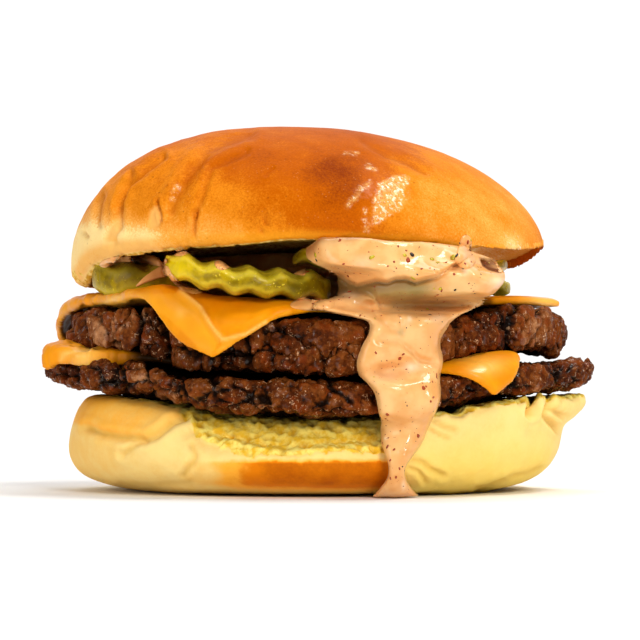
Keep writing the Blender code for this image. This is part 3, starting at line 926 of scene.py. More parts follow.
        # Painted highlight: pale cream scratches and near-white glints over the shiny place.
        scratched = paint.mark("sheen") * paint.noise(0.5, 4.0, 0.75).step(0.4, 0.6)
        spark = paint.mark("sheen") * paint.noise(0.9, 3.0, 0.7).step(0.54, 0.6)
        tone = paint.layered(
            rgb(255, 222, 150),
            (toast.step(0.0, 0.3), rgb(243, 166, 72)),
            (toast.step(0.22, 0.55), rgb(222, 130, 22)),
            (toast.step(0.5, 0.85), rgb(186, 88, 0)),
            (toast.step(0.8, 1.25), rgb(132, 50, 0)),
            (pores * 0.5, rgb(130, 56, 6)),
            (pale * 0.16, rgb(255, 214, 140)),
            # Painted shade in the crease valleys.
            (paint.mark("crease") * 0.4, rgb(164, 74, 4)),
            (paint.mark("flake") * 0.85, rgb(246, 184, 98)),
            # Lighter gold rim: its own edge colour and painted light on the shaded underside.
            (paint.mark("rim") * 0.6, rgb(234, 154, 32)),
            # Painted highlights: the pale sheen, its scratches and the near-white glints.
            (paint.mark("sheen") * 0.2 + scratched * 0.4, rgb(252, 202, 116)),
            (spark * 0.8, rgb(255, 246, 218)),
        )
        crumb = paint.mix(paint.noise(1.2, 3.0).step(0.35, 0.65), rgb(214, 160, 50), rgb(252, 220, 132))
        paint.colour(paint.mix(paint.mark("crumb").step(0.3, 0.7), tone, crumb))
        gloss = paint.mark("gloss")
        paint.rough(0.48 - gloss * 0.2 + paint.mark("crumb") * 0.3 + paint.mark("flake") * 0.25)
        paint.coat(gloss * 0.08 + scratched * 0.34)
        fine = paint.noise(0.4, 2.0) * 0.6 + paint.noise(1.6, 4.0) * 0.5 + scratched * 0.3
        paint.bump(fine + paint.noise(0.9, 3.0) * gloss * 1.2 + pale * 0.25, 0.13, 0.75)
        return skin.finish("top_bun", paint, "bun_crust", "bun_top")


@dataclass
class Heel:
    """The soft bottom bun with its torn front.

    Args:
        voxel: the size of its faces in millimetres.
        folds: (line, depth, half width) of each fold in its skin, whose valley is also painted darker as
            painted shade. The first one parts the roll at its left.
        torn: the outline of the torn crumb on the front plane.
        inner: the line along which the crumb turns in, over the lip.
    """

    voxel: float = 0.56
    folds: tuple = (
        (
            (
                (-46.4, 14.1), (-44.2, 13.0), (-40.7, 12.4), (-34.8, 11.7), (-32.7, 12.7), (-29.5, 15.3),
                (-26.8, 16.4),
            ),
            1.1, 0.8,
        ),
        (((-39.3, 8.9), (-37.2, 10.3), (-35.5, 11.5)), 0.6, 0.7),
        (((-27.1, 4.7), (-25.4, 7.0), (-24.7, 8.5), (-25.4, 10.6)), 0.5, 0.6),
        (((42.9, 22.4), (42.9, 19.8), (42.4, 16.8)), 1.8, 0.6),
        (((45.9, 21.2), (46.4, 18.8), (45.2, 16.8), (47.0, 15.0), (48.8, 13.2)), 1.0, 0.6),
        (((46.2, 18.4), (48.0, 17.2), (50.2, 16.4)), 0.8, 0.6),
        (((48.4, 20.8), (51.0, 20.4), (53.4, 19.4)), 0.5, 0.6),
        (((25.6, 20.2), (24.8, 18.4), (26.6, 17.2), (29.0, 17.0)), 0.9, 0.6),
        (((23.0, 15.7), (25.4, 14.4), (27.6, 13.9)), 0.55, 0.5),
        (((22.5, 13.9), (24.6, 12.6), (26.2, 12.2)), 0.45, 0.45),
        (((19.2, 7.6), (21.0, 7.2), (22.8, 5.6), (25.0, 4.6)), 0.55, 0.6),
        (((18.5, 6.2), (20.2, 5.4), (21.6, 3.4)), 0.4, 0.5),
        (((31.8, 2.2), (34.6, 2.6), (37.6, 3.8)), 0.4, 0.5),
        (((38.6, 4.4), (42.0, 5.0), (44.6, 6.4)), 0.35, 0.6),
        (((-40.0, 3.0), (-33.0, 2.6), (-26.0, 3.4)), 0.25, 0.8),
    )
    torn: tuple = (
        (-26.6, 18.4), (-26.2, 14.6), (-24.6, 12.0), (-21.0, 10.2), (-17.0, 9.0), (-13.9, 7.8),
        (-10.6, 8.2), (-6.0, 8.0), (2.3, 8.9), (8.0, 8.4), (15.5, 8.6), (15.5, 19.0),
    )
    inner: tuple = (
        (-22.0, 13.0), (-18.9, 12.3), (-13.9, 11.0), (-8.8, 9.9), (-6.0, 9.8), (4.3, 10.6), (13.6, 11.2),
    )

    @staticmethod
    def hidden(p: Array, n: Array) -> Array:
        """Tells which points the patty and the table cover."""
        return (from_middle(p) < 36.0) & (np.abs(n[:, 2]) > 0.8)

    def build(self) -> Skin:
        """Models the folds, the slit and the porous crumb.

        Returns:
            The skin.
        """
        skin = Skin.of_node("bun_bottom", self.voxel, 10, self.hidden)
        p, n = skin.place, skin.normals()
        v = seen(p)
        front = smooth(-8.0, -18.0, p[:, 1])
        ragged = np.column_stack((Grain.layers(p, 2.6, 3, 2), Grain.layers(p, 2.0, 3, 3)))
        crumb = within(v + 1.1 * ragged, self.torn, 0.7) * smooth(-30.0, -38.0, p[:, 1])
        inner = np.maximum(smooth(-31.0, -26.0, p[:, 0]), smooth(50.0, 44.0, from_middle(p)))
        crumb = np.maximum(crumb, smooth(0.6, 0.9, n[:, 2]) * smooth(12.0, 16.0, p[:, 2]) * inner)
        move = 0.3 * Grain.layers(p, 15.0, 3, 31) * (1.0 - crumb) * smooth(0.0, 3.0, p[:, 2])
        crease = np.zeros(len(p))
        bent = v + 0.25 * ragged
        for line, depth, width in self.folds:
            move += depth * groove(bent, line, width) * front
            hit = stroke(bent, line, 0.9 * width) * front
            # The fold valleys are marked to be painted a darker, saturated yellow, as painted shade.
            crease = np.maximum(crease, min(1.0, 0.35 + 0.4 * depth) * hit)
        right = smooth(14.0, 22.0, p[:, 0]) * front
        move += (1.0 - crumb) * (0.05 + 0.1 * right) * Grain.layers(p, 2.4, 3, 32, True)
        move += 0.45 * right * (1.0 - crumb) * Grain.layers(p * np.array((1.0, 1.0, 0.7)), 8.0, 2, 35)
        holes, _, _ = Grain.cells(p + 0.6 * Grain.layers(p, 2.0, 2, 40)[:, None], 2.1, 41)
        fine, _, _ = Grain.cells(p, 1.05, 42)
        shreds = Grain.layers(p * np.array((0.7, 0.7, 1.5)), 3.2, 3, 43, True)
        move += crumb * (0.75 * shreds - 0.8 * smooth(0.5, 0.15, holes) - 0.35 * smooth(0.5, 0.2, fine))
        skin.push(move)
        shelf = ledge(*flipped(v, self.inner), 0.5, 2.2)
        skin.forward(1.3 * shelf * crumb * front)
        skin.points[:, 2] = np.maximum(skin.points[:, 2], 0.0)
        x, y, z = p.T
        roll = smooth(-22.0, -36.0, x) * smooth(6.0, -6.0, y)
        over = smooth(-0.3, 0.8, z - line_height(v, self.folds[0][0])) * smooth(-24.0, -29.0, x)
        edge = 7.6 - 0.35 * smooth(-12.0, -20.0, x) + 0.6 * ragged[:, 0]
        band = smooth(-29.0, -9.0, x + 4.0 * Grain.layers(p, 5.0, 2, 33)) * smooth(19.0, 13.0, x)
        band *= smooth(edge + 0.4, edge - 0.5, z) * smooth(0.2, 3.2, z) * front
        toast = 0.08 + 0.16 * roll * smooth(-36.0, -54.0, x) + 0.3 * over
        toast += 0.14 * Grain.layers(p, 14.0, 3, 51)
        toast += 0.16 * over * smooth(17.0, 21.0, z) + 0.95 * band
        toast += 0.22 * smooth(1.8, 0.2, z) * (1.0 - band) + 0.3 * smooth(10.0, 40.0, y)
        skin.marks["toast"] = np.clip(toast, 0.0, 1.3)
        skin.marks["crumb"] = crumb
        # The crumb's holes and the valleys between its shreds are marked to be painted darker, as painted
        # shade.
        pit = smooth(0.42, 0.12, holes) + smooth(0.1, -0.5, shreds) * 0.6
        skin.marks["pit"] = np.clip(pit, 0.0, 1.0) * crumb
        skin.marks["crease"] = crease * (1.0 - crumb)
        inward = smooth(-0.3, 1.4, z - line_height(v, self.inner))
        skin.marks["shade"] = crumb * inward * smooth(18.0, 14.0, x)
        # The right side is painted a yellower, darker tone towards its bottom: partly the bun's own colour,
        # partly painted shade.
        lemon = smooth(12.0, 22.0, x) * smooth(16.0, 3.0, z + 2.5 * Grain.layers(p, 9.0, 3, 36))
        skin.marks["lemon"] = lemon * front * (1.0 - crumb)
        skin.marks["gloss"] = hills(v, ((-38.6, 16.2, 3.0, 1.6, 1.0), (-31.8, 19.6, 1.0, 0.6, 0.8)))
        return skin

    def dress(self, skin: Skin) -> bpy.types.Object:
        """Paints the crust and the crumb.

        Args:
            skin: the built skin.

        Returns:
            The piece.
        """
        paint = Paint("bun_crumb", Food.CRUMB.value)
        toast = paint.mark("toast") + (paint.noise(4.0, 5.0) - 0.5) * 0.3
        toast = toast + (paint.noise(0.6, 2.0) - 0.5) * 0.12
        tone = paint.layered(
            rgb(252, 219, 138),
            (toast.step(0.0, 0.32), rgb(250, 200, 104)),
            (toast.step(0.26, 0.6), rgb(255, 179, 56)),
            (toast.step(0.55, 0.85), rgb(228, 128, 4)),
            (toast.step(0.85, 1.25), rgb(172, 80, 0)),
            # Yellower tone and painted shade low on the right side.
            (paint.mark("lemon") * 0.6, rgb(244, 214, 92)),
            # Painted shade in the fold valleys.
            (paint.mark("crease") * 0.7, rgb(206, 152, 26)),
        )
        crumb = paint.layered(
            rgb(238, 186, 48),
            (paint.noise(1.6, 4.0).step(0.35, 0.65), rgb(255, 232, 122)),
            (paint.mark("shade") * 0.42, rgb(190, 150, 26)),
            # Painted shade in the crumb's holes.
            (paint.mark("pit") * 0.5, rgb(176, 120, 10)),
        )
        paint.colour(paint.mix(paint.mark("crumb").step(0.2, 0.8), tone, crumb))
        gloss = paint.mark("gloss")
        paint.rough(0.6 + paint.mark("crumb") * 0.25 - gloss * 0.3)
        paint.coat(gloss * 0.6)
        grain = paint.noise(0.6, 4.0) * (0.35 + paint.mark("crumb")) + paint.noise(2.2, 3.0) * 0.4
        paint.bump(grain + paint.noise(1.0, 3.0) * gloss, 0.2, 0.7)
        return skin.finish("bottom_bun", paint, "bun_crumb", "bun_bottom")


@dataclass
class Patty:
    """A seared patty of coarse ground beef.

    Args:
        node: the solid it dresses.
        name: the piece's name.
        seed: picks its crags.
        clefts: (line, depth, half width) of the deep cracks at the front.
        lumps: (x, z, reach in x, reach in z, height) of the lumps at the front.
        pinkish: where the meat is less seared, in the same way.
        reach: how far from the middle other food covers it.
        sink: how far its lower edge hangs down, in millimetres.
        voxel: the size of its faces in millimetres.
    """

    node: str
    name: str
    seed: int
    clefts: tuple
    lumps: tuple
    pinkish: tuple
    reach: float = 42.0
    sink: float = 0.0
    voxel: float = 0.5

    def hidden(self, p: Array, n: Array) -> Array:
        """Tells which points the other layers cover."""
        return (from_middle(p) < self.reach) & (np.abs(n[:, 2]) > 0.3)

    def build(self) -> Skin:
        """Models the lumps, shreds and clefts of the meat.

        Returns:
            The skin.
        """
        skin = Skin.of_node(self.node, self.voxel, 3, self.hidden)
        p = skin.place
        v = seen(p)
        front = smooth(-14.0, -24.0, p[:, 1])
        warp = np.column_stack([Grain.layers(p, 5.5, 2, self.seed + k) for k in range(3)])
        q = p + 2.4 * warp
        big = Grain.layers(q, 10.0, 2, self.seed + 10)
        near, following, own = Grain.cells(q * np.array((1.0, 1.0, 1.2)), 5.2, self.seed)
        crack = smooth(0.26, 0.0, following - near) * smooth(-0.4, 0.2, Grain.soft(p, 6.0, self.seed + 20))
        bits, bits_next, bits_own = Grain.cells(p + 0.7 * warp[:, ::-1], 1.55, self.seed + 1)
        grit = smooth(0.0, 0.4, bits_next - bits)
        shreds = Grain.layers(q * np.array((1.0, 1.0, 1.5)), 3.0, 3, self.seed + 30, True)
        move = 1.1 * big + 0.9 * (0.5 - near) - 1.3 * crack
        move += 0.26 * (grit - 0.6) + 0.6 * (shreds - 0.1)
        move += 0.3 * (own - 0.5) + 0.25 * (bits_own - 0.5) + 0.32 * Grain.layers(q, 1.8, 2, self.seed + 50)
        cleft = np.zeros(len(p))
        jagged = v + 0.8 * warp[:, :2]
        for line, depth, width in self.clefts:
            hit = stroke(jagged, line, width) * front
            move -= depth * hit
            cleft = np.maximum(cleft, hit)
        skin.push(move)
        skin.forward(hills(v, self.lumps) * front)
        out = from_middle(p)
        under = smooth(0.1, -0.6, skin.normals()[:, 2]) * smooth(self.reach, self.reach + 6.0, out)
        skin.points[:, 2] -= self.sink * under
        # Cracks, clefts and the hollows between bits are marked to be painted near black, as painted shade.
        low = 0.75 * crack + 0.9 * cleft + 0.35 * (1.0 - grit) - 0.35 * (shreds - 0.1)
        skin.marks["low"] = np.clip(low, 0.0, 1.0)
        tone = 0.42 + 0.5 * big + 0.21 * shreds + 0.3 * (own - 0.5) + 0.2 * (bits_own - 0.5)
        skin.marks["tone"] = np.clip(tone + hills(v, self.pinkish) * front, 0.0, 1.2)
        # The meat far in from the rim, between the layers, is marked to be painted near black, as painted
        # shade.
        skin.marks["deep"] = smooth(self.reach + 11.0, self.reach + 6.0, out)
        return skin

    def dress(self, skin: Skin) -> bpy.types.Object:
        """Paints the seared, damp meat.

        Args:
            skin: the built skin.

        Returns:
            The piece.
        """
        paint = Paint(self.name + "_meat", Food.BEEF.value)
        tone = paint.mark("tone") + (paint.noise(1.3, 5.0, 0.7) - 0.5) * 1.5
        open_air = 1.0 - paint.mark("deep")
        # Pale flecks: partly bits of fat, partly painted highlights that stand in for wet glints.
        fat = paint.noise(0.75, 2.0, 0.6, 1.2).step(0.6, 0.66)
        fat = fat * paint.noise(2.6, 3.0).step(0.44, 0.56) * open_air
        meat = paint.layered(
            rgb(20, 6, 1),
            (tone.step(0.05, 0.45), rgb(78, 32, 5)),
            (tone.step(0.4, 0.8), rgb(120, 62, 20)),
            (tone.step(0.8, 1.25), rgb(176, 120, 78)),
            (paint.noise(3.2, 4.0).step(0.5, 0.64) * 0.5, rgb(124, 48, 4)),
            # Painted shade: the cracks and hollows are painted near black.
            (paint.mark("low").step(0.15, 0.75) * 0.96, rgb(8, 3, 1)),
            # Fat flecks and painted glint highlights.
            (fat * (1.0 - paint.mark("low")) * 0.75, rgb(238, 186, 140)),
            # Painted shade: the hidden meat between the layers is painted near black.
            (paint.mark("deep") * 0.97, rgb(5, 2, 1)),
        )
        paint.colour(meat)
        wet = paint.noise(1.5, 2.0).step(0.56, 0.62) * open_air
        paint.rough(0.46 - wet * 0.26)
        paint.coat(wet * 0.55)
        paint.bump(paint.noise(0.5, 4.0, 0.65) * 0.6 + paint.noise(1.1, 3.0) + fat * 0.3, 0.45, 0.9)
        return skin.finish(self.name, paint, "beef", self.node)


@dataclass
class Slice:
    """A soft slice of cheese.

    Args:
        node: the solid it dresses.
        name: the piece's name.
        seed: picks its ripples.
        bands: outlines on the front plane of its paler, bevelled sides.
        ridges: (line, depth, half width) of its edges and creases, along which a thin highlight is also
            painted.
        darker: (x, z, reach in x, reach in z, amount) of its places painted a deeper orange; on the upper
            slice they are painted shade beneath the front pickle chip.
        gloss: its shiny places, in the same way, which also get a painted highlight in their colour.
        arches: (x, y, reach in x, reach in y, height) of where it lifts off the meat.
        sag: how much thicker its left end is, in millimetres.
        covered: 1 where meat shuts off the light from its recessed edge, 0 where it doesn't; where it is 1,
            that edge is painted near black as painted shade.
        voxel: the size of its faces in millimetres.
    """

    node: str
    name: str
    seed: int
    bands: tuple
    ridges: tuple
    darker: tuple
    gloss: tuple
    arches: tuple = ()
    sag: float = 0.0
    covered: float = 0.0
    voxel: float = 0.5

    @staticmethod
    def hidden(p: Array, n: Array) -> Array:
        """Tells which points the meat covers."""
        return (from_middle(p) < 38.0) & (np.abs(n[:, 2]) > 0.3)

    def build(self) -> Skin:
        """Models the slice's soft ripples, bevels and creases.

        Returns:
            The skin.
        """
        skin = Skin.of_node(self.node, self.voxel, 5, self.hidden)
        p = skin.place
        v = seen(p)
        front = smooth(10.0, -5.0, p[:, 1])
        left = smooth(-34.0, -44.0, p[:, 0])
        move = 0.22 * Grain.layers(p, 12.0, 2, self.seed) + 0.06 * Grain.layers(p, 3.0, 2, self.seed + 1)
        move += 0.8 * left * Grain.layers(p * np.array((1.0, 0.6, 1.0)), 4.5, 3, self.seed + 2, True)
        crest = np.zeros(len(p))
        for line, depth, width in self.ridges:
            move += depth * groove(v, line, width) * front
            # A thin line along each edge and crease is marked for a painted highlight.
            crest = np.maximum(crest, stroke(v, line, 0.32) * front)
        skin.push(move)
        skin.points[:, 2] -= self.sag * left * smooth(0.2, -0.5, skin.normals()[:, 2])
        skin.points[:, 2] += hills(p[:, :2], self.arches) * smooth(32.0, 37.0, p[:, 2])
        skin.marks["crest"] = crest
        band = np.zeros(len(p))
        for outline in self.bands:
            band = np.maximum(band, within(v, outline, 0.5) * front)
        skin.marks["band"] = band
        # Painted deeper orange: the listed places, which on the upper slice are painted shade beneath the
        # front pickle chip, and a large-scale random tone.
        darker = hills(v, self.darker) * front + 0.25 * Grain.layers(p, 12.0, 2, self.seed + 4)
        skin.marks["darker"] = np.clip(darker, 0.0, 1.0)
        out = from_middle(p)
        facing = (skin.normals()[:, :2] * p[:, :2]).sum(axis=1) / out
        inward = smooth(0.0, -0.4, facing) * smooth(40.0, 46.0, out)
        # The shiny places get lower roughness and clear coat, and a painted highlight in the colour.
        skin.marks["gloss"] = np.clip(hills(v, self.gloss) * front, 0.0, 1.0) * (1.0 - inward)
        # Painted shade: the recessed edge under the meat and the inward-facing sides are marked to be
        # painted near black.
        covered = smooth(50.0, 46.0, out) * smooth(-43.0, -38.5, p[:, 0])
        skin.marks["deep"] = np.maximum(covered * self.covered, 0.8 * inward)
        return skin

    def dress(self, skin: Skin) -> bpy.types.Object:
        """Paints the cheese.

        Args:
            skin: the built skin.

        Returns:
            The piece.
        """
        paint = Paint(self.name + "_melt", Food.CHEESE.value)
        gloss = paint.mark("gloss")
        melt = paint.layered(
            rgb(226, 136, 2),
            (paint.noise(7.0, 3.0).step(0.35, 0.65), rgb(240, 154, 10)),
            # Deeper orange: painted shade beneath the chip, and random tone.
            (paint.mark("darker") * 0.8, rgb(208, 112, 0)),
            (paint.mark("band") * 0.6, rgb(242, 164, 34)),
            # Painted highlight on the shiny places.
            (gloss * 0.55, rgb(255, 208, 104)),
            # Painted highlight along the edges and creases.
            (paint.mark("crest") * 0.45, rgb(255, 214, 122)),
            # Painted shade, near black, where meat covers the edge and on the inward-facing sides.
            (paint.mark("deep") * 0.95, rgb(14, 6, 1)),
        )
        paint.colour(melt)
        paint.rough(0.4 - gloss * 0.18)
        paint.coat(gloss * 0.4)
        paint.bump(paint.noise(1.8, 3.0) * (0.5 + gloss * 1.5), 0.14, 0.6)
        return skin.finish(self.name, paint, "cheese", self.node)


@dataclass
class Chip:
    """A crinkle-cut pickle chip.

    Args:
        node: the solid it dresses.
        centre: the middle of the disc.
        radius: the disc's radius.
        bright: (x, z, reach in x, reach in z, amount) of its brighter yellow places.
        dark: its deep olive places, in the same way.
        shift: how far its flesh has slumped from the solid, in millimetres.
        swell: how much thicker it has swollen on each face.
        voxel: the size of its faces in millimetres.
    """

    node: str
    centre: tuple[float, float, float]
    radius: float
    bright: tuple = ()
    dark: tuple = ()
    shift: tuple[float, float, float] = (0.0, 0.0, 0.0)
    swell: float = 0.0
    voxel: float = 0.42

    def hidden(self, p: Array, n: Array) -> Array:
        """Tells which points lie inside the burger."""
        return (p[:, 1] > self.centre[1] + 2.0) & (from_middle(p) < 40.0)

    def build(self) -> Skin:
        """Models the chip's soft, bumpy flesh.

        Returns:
            The skin.
        """
        skin = Skin.of_node(self.node, self.voxel, 4, self.hidden)
        p = skin.place
        v = seen(p)
        n = skin.normals()
        skin.push(0.2 * Grain.layers(p, 3.5, 3, 61) + 0.1 * Grain.layers(p, 1.2, 2, 62))
        out = np.hypot(p[:, 0] - self.centre[0], p[:, 1] - self.centre[1]) / self.radius
        skin.marks["rind"] = smooth(0.93, 0.985, out)
        skin.marks["edge"] = smooth(0.25, 0.6, np.abs(n[:, 2])) * smooth(0.9, 0.97, out)
        skin.marks["bright"] = np.clip(hills(v, self.bright), 0.0, 1.0)
        skin.marks["dark"] = np.clip(hills(v, self.dark), 0.0, 1.0)
        skin.points += np.array(self.shift)
        skin.points[:, 2] += self.swell * smooth(0.2, 0.8, np.abs(n[:, 2])) * np.sign(n[:, 2])
        return skin

    def dress(self, skin: Skin) -> bpy.types.Object:
        """Paints the flesh and the rind.

        Args:
            skin: the built skin.

        Returns:
            The piece.
        """
        paint = Paint(self.node + "_flesh", Food.PICKLE.value)
        flecks = paint.noise(0.9, 2.0, 0.6, 1.0).step(0.62, 0.7)
        flecks = flecks * paint.noise(3.4, 2.0).step(0.44, 0.54)
        ripe = paint.noise(2.6, 3.0).step(0.35, 0.65)
        flesh = paint.layered(
            rgb(170, 150, 10),
            (paint.noise(3.0, 4.0).step(0.3, 0.7), rgb(226, 206, 60)),
            (paint.mark("rind"), paint.mix(ripe, rgb(140, 114, 0), rgb(190, 158, 2))),
            (paint.mark("bright") * 0.85, rgb(240, 208, 8)),
            (paint.mark("edge") * 0.5, rgb(236, 212, 64)),
            (paint.mark("dark") * 0.9, rgb(70, 58, 3)),
            (flecks * 0.6, rgb(252, 226, 50)),
        )
        paint.colour(flesh)
        paint.bump(paint.noise(0.9, 3.0) + flecks * 0.6, 0.2, 0.7)
        return skin.finish(self.node.replace("pickle", "chip"), paint, "pickle", self.node)


@dataclass
class Sauce:
    """The thick sauce that runs down the front, in folds and swells.

    Args:
        node: the solid it dresses.
        name: the piece's name.
        wave: the lower edge of its upper fold.
        mound: the upper edge of the fold at the lower left.
        fold: the upper edge of the lowest fold.
        ridges: (line, height, half width) of its rounded ridges and valleys.
        swells: (x, z, reach in x, reach in z, height) of its swells.
        shut: how much of it lies in the dark between the layers, from 0 to 1; its front is painted that much
            towards dark brown as painted shade.
        hole: the outline of the gap under the top bun, which is painted dark brown as painted shade.
        green: where relish shows through, as swells are given.
        shine: its brightest places, painted pale as painted highlights, as swells are given.
        brown: the outline of the shadowed, browner sauce under the top bun.
        voxel: the size of its faces in millimetres.
    """

    node: str
    name: str
    shut: float = 0.0
    wave: tuple = (
        (-0.5, 44.8), (1.9, 44.9), (4.1, 44.8), (5.7, 43.8), (7.8, 43.0), (9.9, 43.5), (11.8, 44.0),
        (14.0, 43.8), (15.6, 44.4), (17.6, 44.5), (19.6, 43.8), (21.8, 44.4), (23.7, 44.8), (25.7, 46.0),
        (29.1, 48.0),
    )
    mound: tuple = ((0.7, 40.0), (1.9, 40.2), (5.7, 41.8), (9.6, 41.2), (11.5, 40.0), (13.1, 37.3))
    fold: tuple = ((12.6, 31.3), (16.2, 31.1), (18.8, 29.1), (20.3, 27.6), (23.9, 26.6))
    ridges: tuple = (
        (((27.5, 48.6), (30.2, 45.8), (32.4, 44.1), (35.3, 42.8), (37.8, 44.4), (39.2, 45.7)), 1.3, 1.0),
        (((10.2, 38.6), (12.8, 36.1), (14.7, 34.1), (16.6, 33.5), (17.0, 35.5)), -0.8, 0.8),
        (((22.7, 22.8), (22.7, 17.4)), 0.45, 0.9),
        (((17.4, 8.6), (17.6, 3.4)), 0.5, 0.8),
        (((14.2, 25.0), (18.0, 25.6)), 0.35, 0.6),
        (((19.0, 50.0), (25.9, 49.0)), 0.6, 0.8),
    )
    swells: tuple = (
        (20.3, 34.8, 4.2, 3.2, 1.3),
        (26.1, 28.1, 1.5, 2.0, 0.6),
        (17.4, 17.8, 3.6, 7.0, 0.8),
        (8.0, 46.5, 5.0, 1.8, 0.5),
        (24.0, 47.0, 4.0, 1.8, 0.6),
        (16.0, 41.4, 7.0, 1.8, -0.8),
        (29.0, 39.5, 4.0, 2.4, 0.3),
    )
    hole: tuple = (
        (32.4, 48.2), (35.4, 49.4), (38.8, 47.8), (38.4, 45.8), (36.6, 45.2), (34.2, 45.8), (33.0, 46.8),
    )
    green: tuple = (
        (16.4, 40.4, 4.0, 2.0, 0.9),
        (20.5, 42.0, 3.0, 1.6, 0.6),
        (24.0, 39.4, 4.0, 1.8, 0.5),
        (16.6, 33.5, 0.7, 1.0, 0.6),
        (27.5, 42.0, 2.6, 1.6, 0.35),
        (30.6, 39.3, 2.4, 1.6, 0.35),
        (12.0, 41.0, 2.0, 1.2, 0.35),
    )
    shine: tuple = (
        (18.7, 26.5, 1.5, 0.9, 1.0),
        (23.9, 36.6, 1.8, 1.3, 0.6),
        (13.9, 24.5, 2.6, 1.2, 0.4),
        (26.1, 50.3, 3.0, 0.8, 0.7),
        (36.3, 43.8, 1.8, 0.8, 0.8),
        (5.0, 40.9, 2.6, 0.7, 0.7),
        (18.4, 36.1, 0.4, 0.6, 0.9),
        (13.5, 12.1, 0.5, 0.3, 0.8),
        (17.1, 2.6, 0.4, 0.9, 0.7),
        (29.7, 45.8, 0.8, 0.9, 0.6),
        (9.0, 47.4, 2.4, 0.8, 0.4),
    )
    brown: tuple = (
        (-6.6, 54.4), (10.0, 54.4), (17.6, 52.6), (17.6, 50.8), (12.4, 50.0), (6.4, 49.4), (0.7, 48.8),
        (-1.7, 47.6), (-6.6, 47.2),
    )
    voxel: float = 0.42

    @staticmethod
    def hidden(p: Array, n: Array) -> Array:
        """Tells which points face the food behind."""
        return (n[:, 1] > 0.3) | (p[:, 1] > -30.0)

    def build(self) -> Skin:
        """Models the sauce's folds and swells.

        Returns:
            The skin.
        """
        skin = Skin.of_node(self.node, self.voxel, 10, self.hidden)
        p, n = skin.place, skin.normals()
        v = seen(p)
        ahead = smooth(0.05, -0.5, n[:, 1])
        shown = smooth(0.4, 0.1, n[:, 1])
        skin.push(0.3 * Grain.layers(p, 7.0, 2, 71) + 0.08 * Grain.layers(p, 2.4, 2, 72))
        relief = hills(v, self.swells)
        relief += 2.1 * ledge(v, self.wave, 0.5, 3.4)
        relief += 1.0 * ledge(*flipped(v, self.mound), 0.7, 2.2)
        relief += 0.8 * ledge(*flipped(v, self.fold), 0.7, 2.6)
        for line, height, width in self.ridges:
            relief += height * stroke(v, line, width)
        hole = within(v, self.hole, 0.5) * ahead
        skin.forward(relief * ahead - 2.6 * hole)
        meets = smooth(47.0, 50.2, v[:, 1]) * smooth(-3.0, 1.0, v[:, 0]) * (1.0 - hole)
        skin.points[:, 2] += (1.1 + 0.9 * smooth(16.0, 6.0, v[:, 0])) * meets
        skin.points[:, 2] = np.maximum(skin.points[:, 2], 0.0)
        # Painted shade: the gap under the top bun, and the front of sauce that lies between the layers, are
        # painted dark brown.
        skin.marks["hole"] = np.maximum(smooth(0.15, 0.8, hole), self.shut * smooth(6.0, -6.0, p[:, 1]))
        skin.marks["green"] = np.clip(hills(v, self.green), 0.0, 1.0) * shown
        rough = np.column_stack((Grain.layers(p, 5.0, 2, 75), Grain.layers(p, 4.0, 2, 76)))
        skin.marks["brown"] = within(v + 0.8 * rough, self.brown, 2.4) * ahead * (0.3 if self.shut else 1.0)
        # Under the lower edge of the upper fold the sauce is marked to be painted darker, as painted shade.
        below = line_height(v, self.wave) - v[:, 1]
        recess = smooth(0.0, 0.5, below) * smooth(5.5, 1.5, below) * smooth(-1.0, 2.0, v[:, 0])
        skin.marks["recess"] = recess * smooth(27.0, 19.0, v[:, 0]) * shown
        # Painted highlight: its brightest places are marked to be painted near white.
        skin.marks["shine"] = np.clip(hills(v, self.shine), 0.0, 1.0) * ahead * (1.0 - self.shut)
        skin.marks["thin"] = np.zeros(len(p))
        return skin

    @staticmethod
    def paint() -> Paint:
        """Makes the sauce's material.

        Returns:
            The material.
        """
        paint = Paint("pink_sauce", Food.SAUCE.value)
        specks = paint.spots(0.9).step(0.16, 0.08) * paint.noise(2.0, 2.0).step(0.48, 0.58)
        tone = paint.layered(
            rgb(230, 164, 94),
            (paint.noise(6.0, 3.0).step(0.35, 0.65), rgb(241, 188, 122)),
            (specks * 0.6, rgb(196, 110, 44)),
            # Painted shade under the upper fold.
            (paint.mark("recess") * 0.9, rgb(132, 102, 54)),
            (paint.mark("green") * 0.7, rgb(146, 136, 80)),
            # Painted highlights.
            (paint.mark("shine") * 0.7, rgb(255, 238, 204)),
            (paint.mark("brown") * 0.9, rgb(126, 66, 26)),
            (paint.mark("thin") * 0.65, rgb(226, 138, 60)),
            # Painted shade in the gap and between the layers.
            (paint.mark("hole"), rgb(104, 52, 10)),
        )
        paint.colour(tone)
        paint.rough(0.3 + paint.mark("hole") * 0.4)
        paint.coat(0.55 - paint.mark("hole") * 0.55)
        paint.bump(paint.noise(1.4, 3.0) * 0.7 + specks * 0.4, 0.1, 0.6)
        return paint

    def dress(self, skin: Skin, paint: Paint) -> bpy.types.Object:
        """Paints the sauce."""
        return skin.finish(self.name, paint, "sauce", self.node)


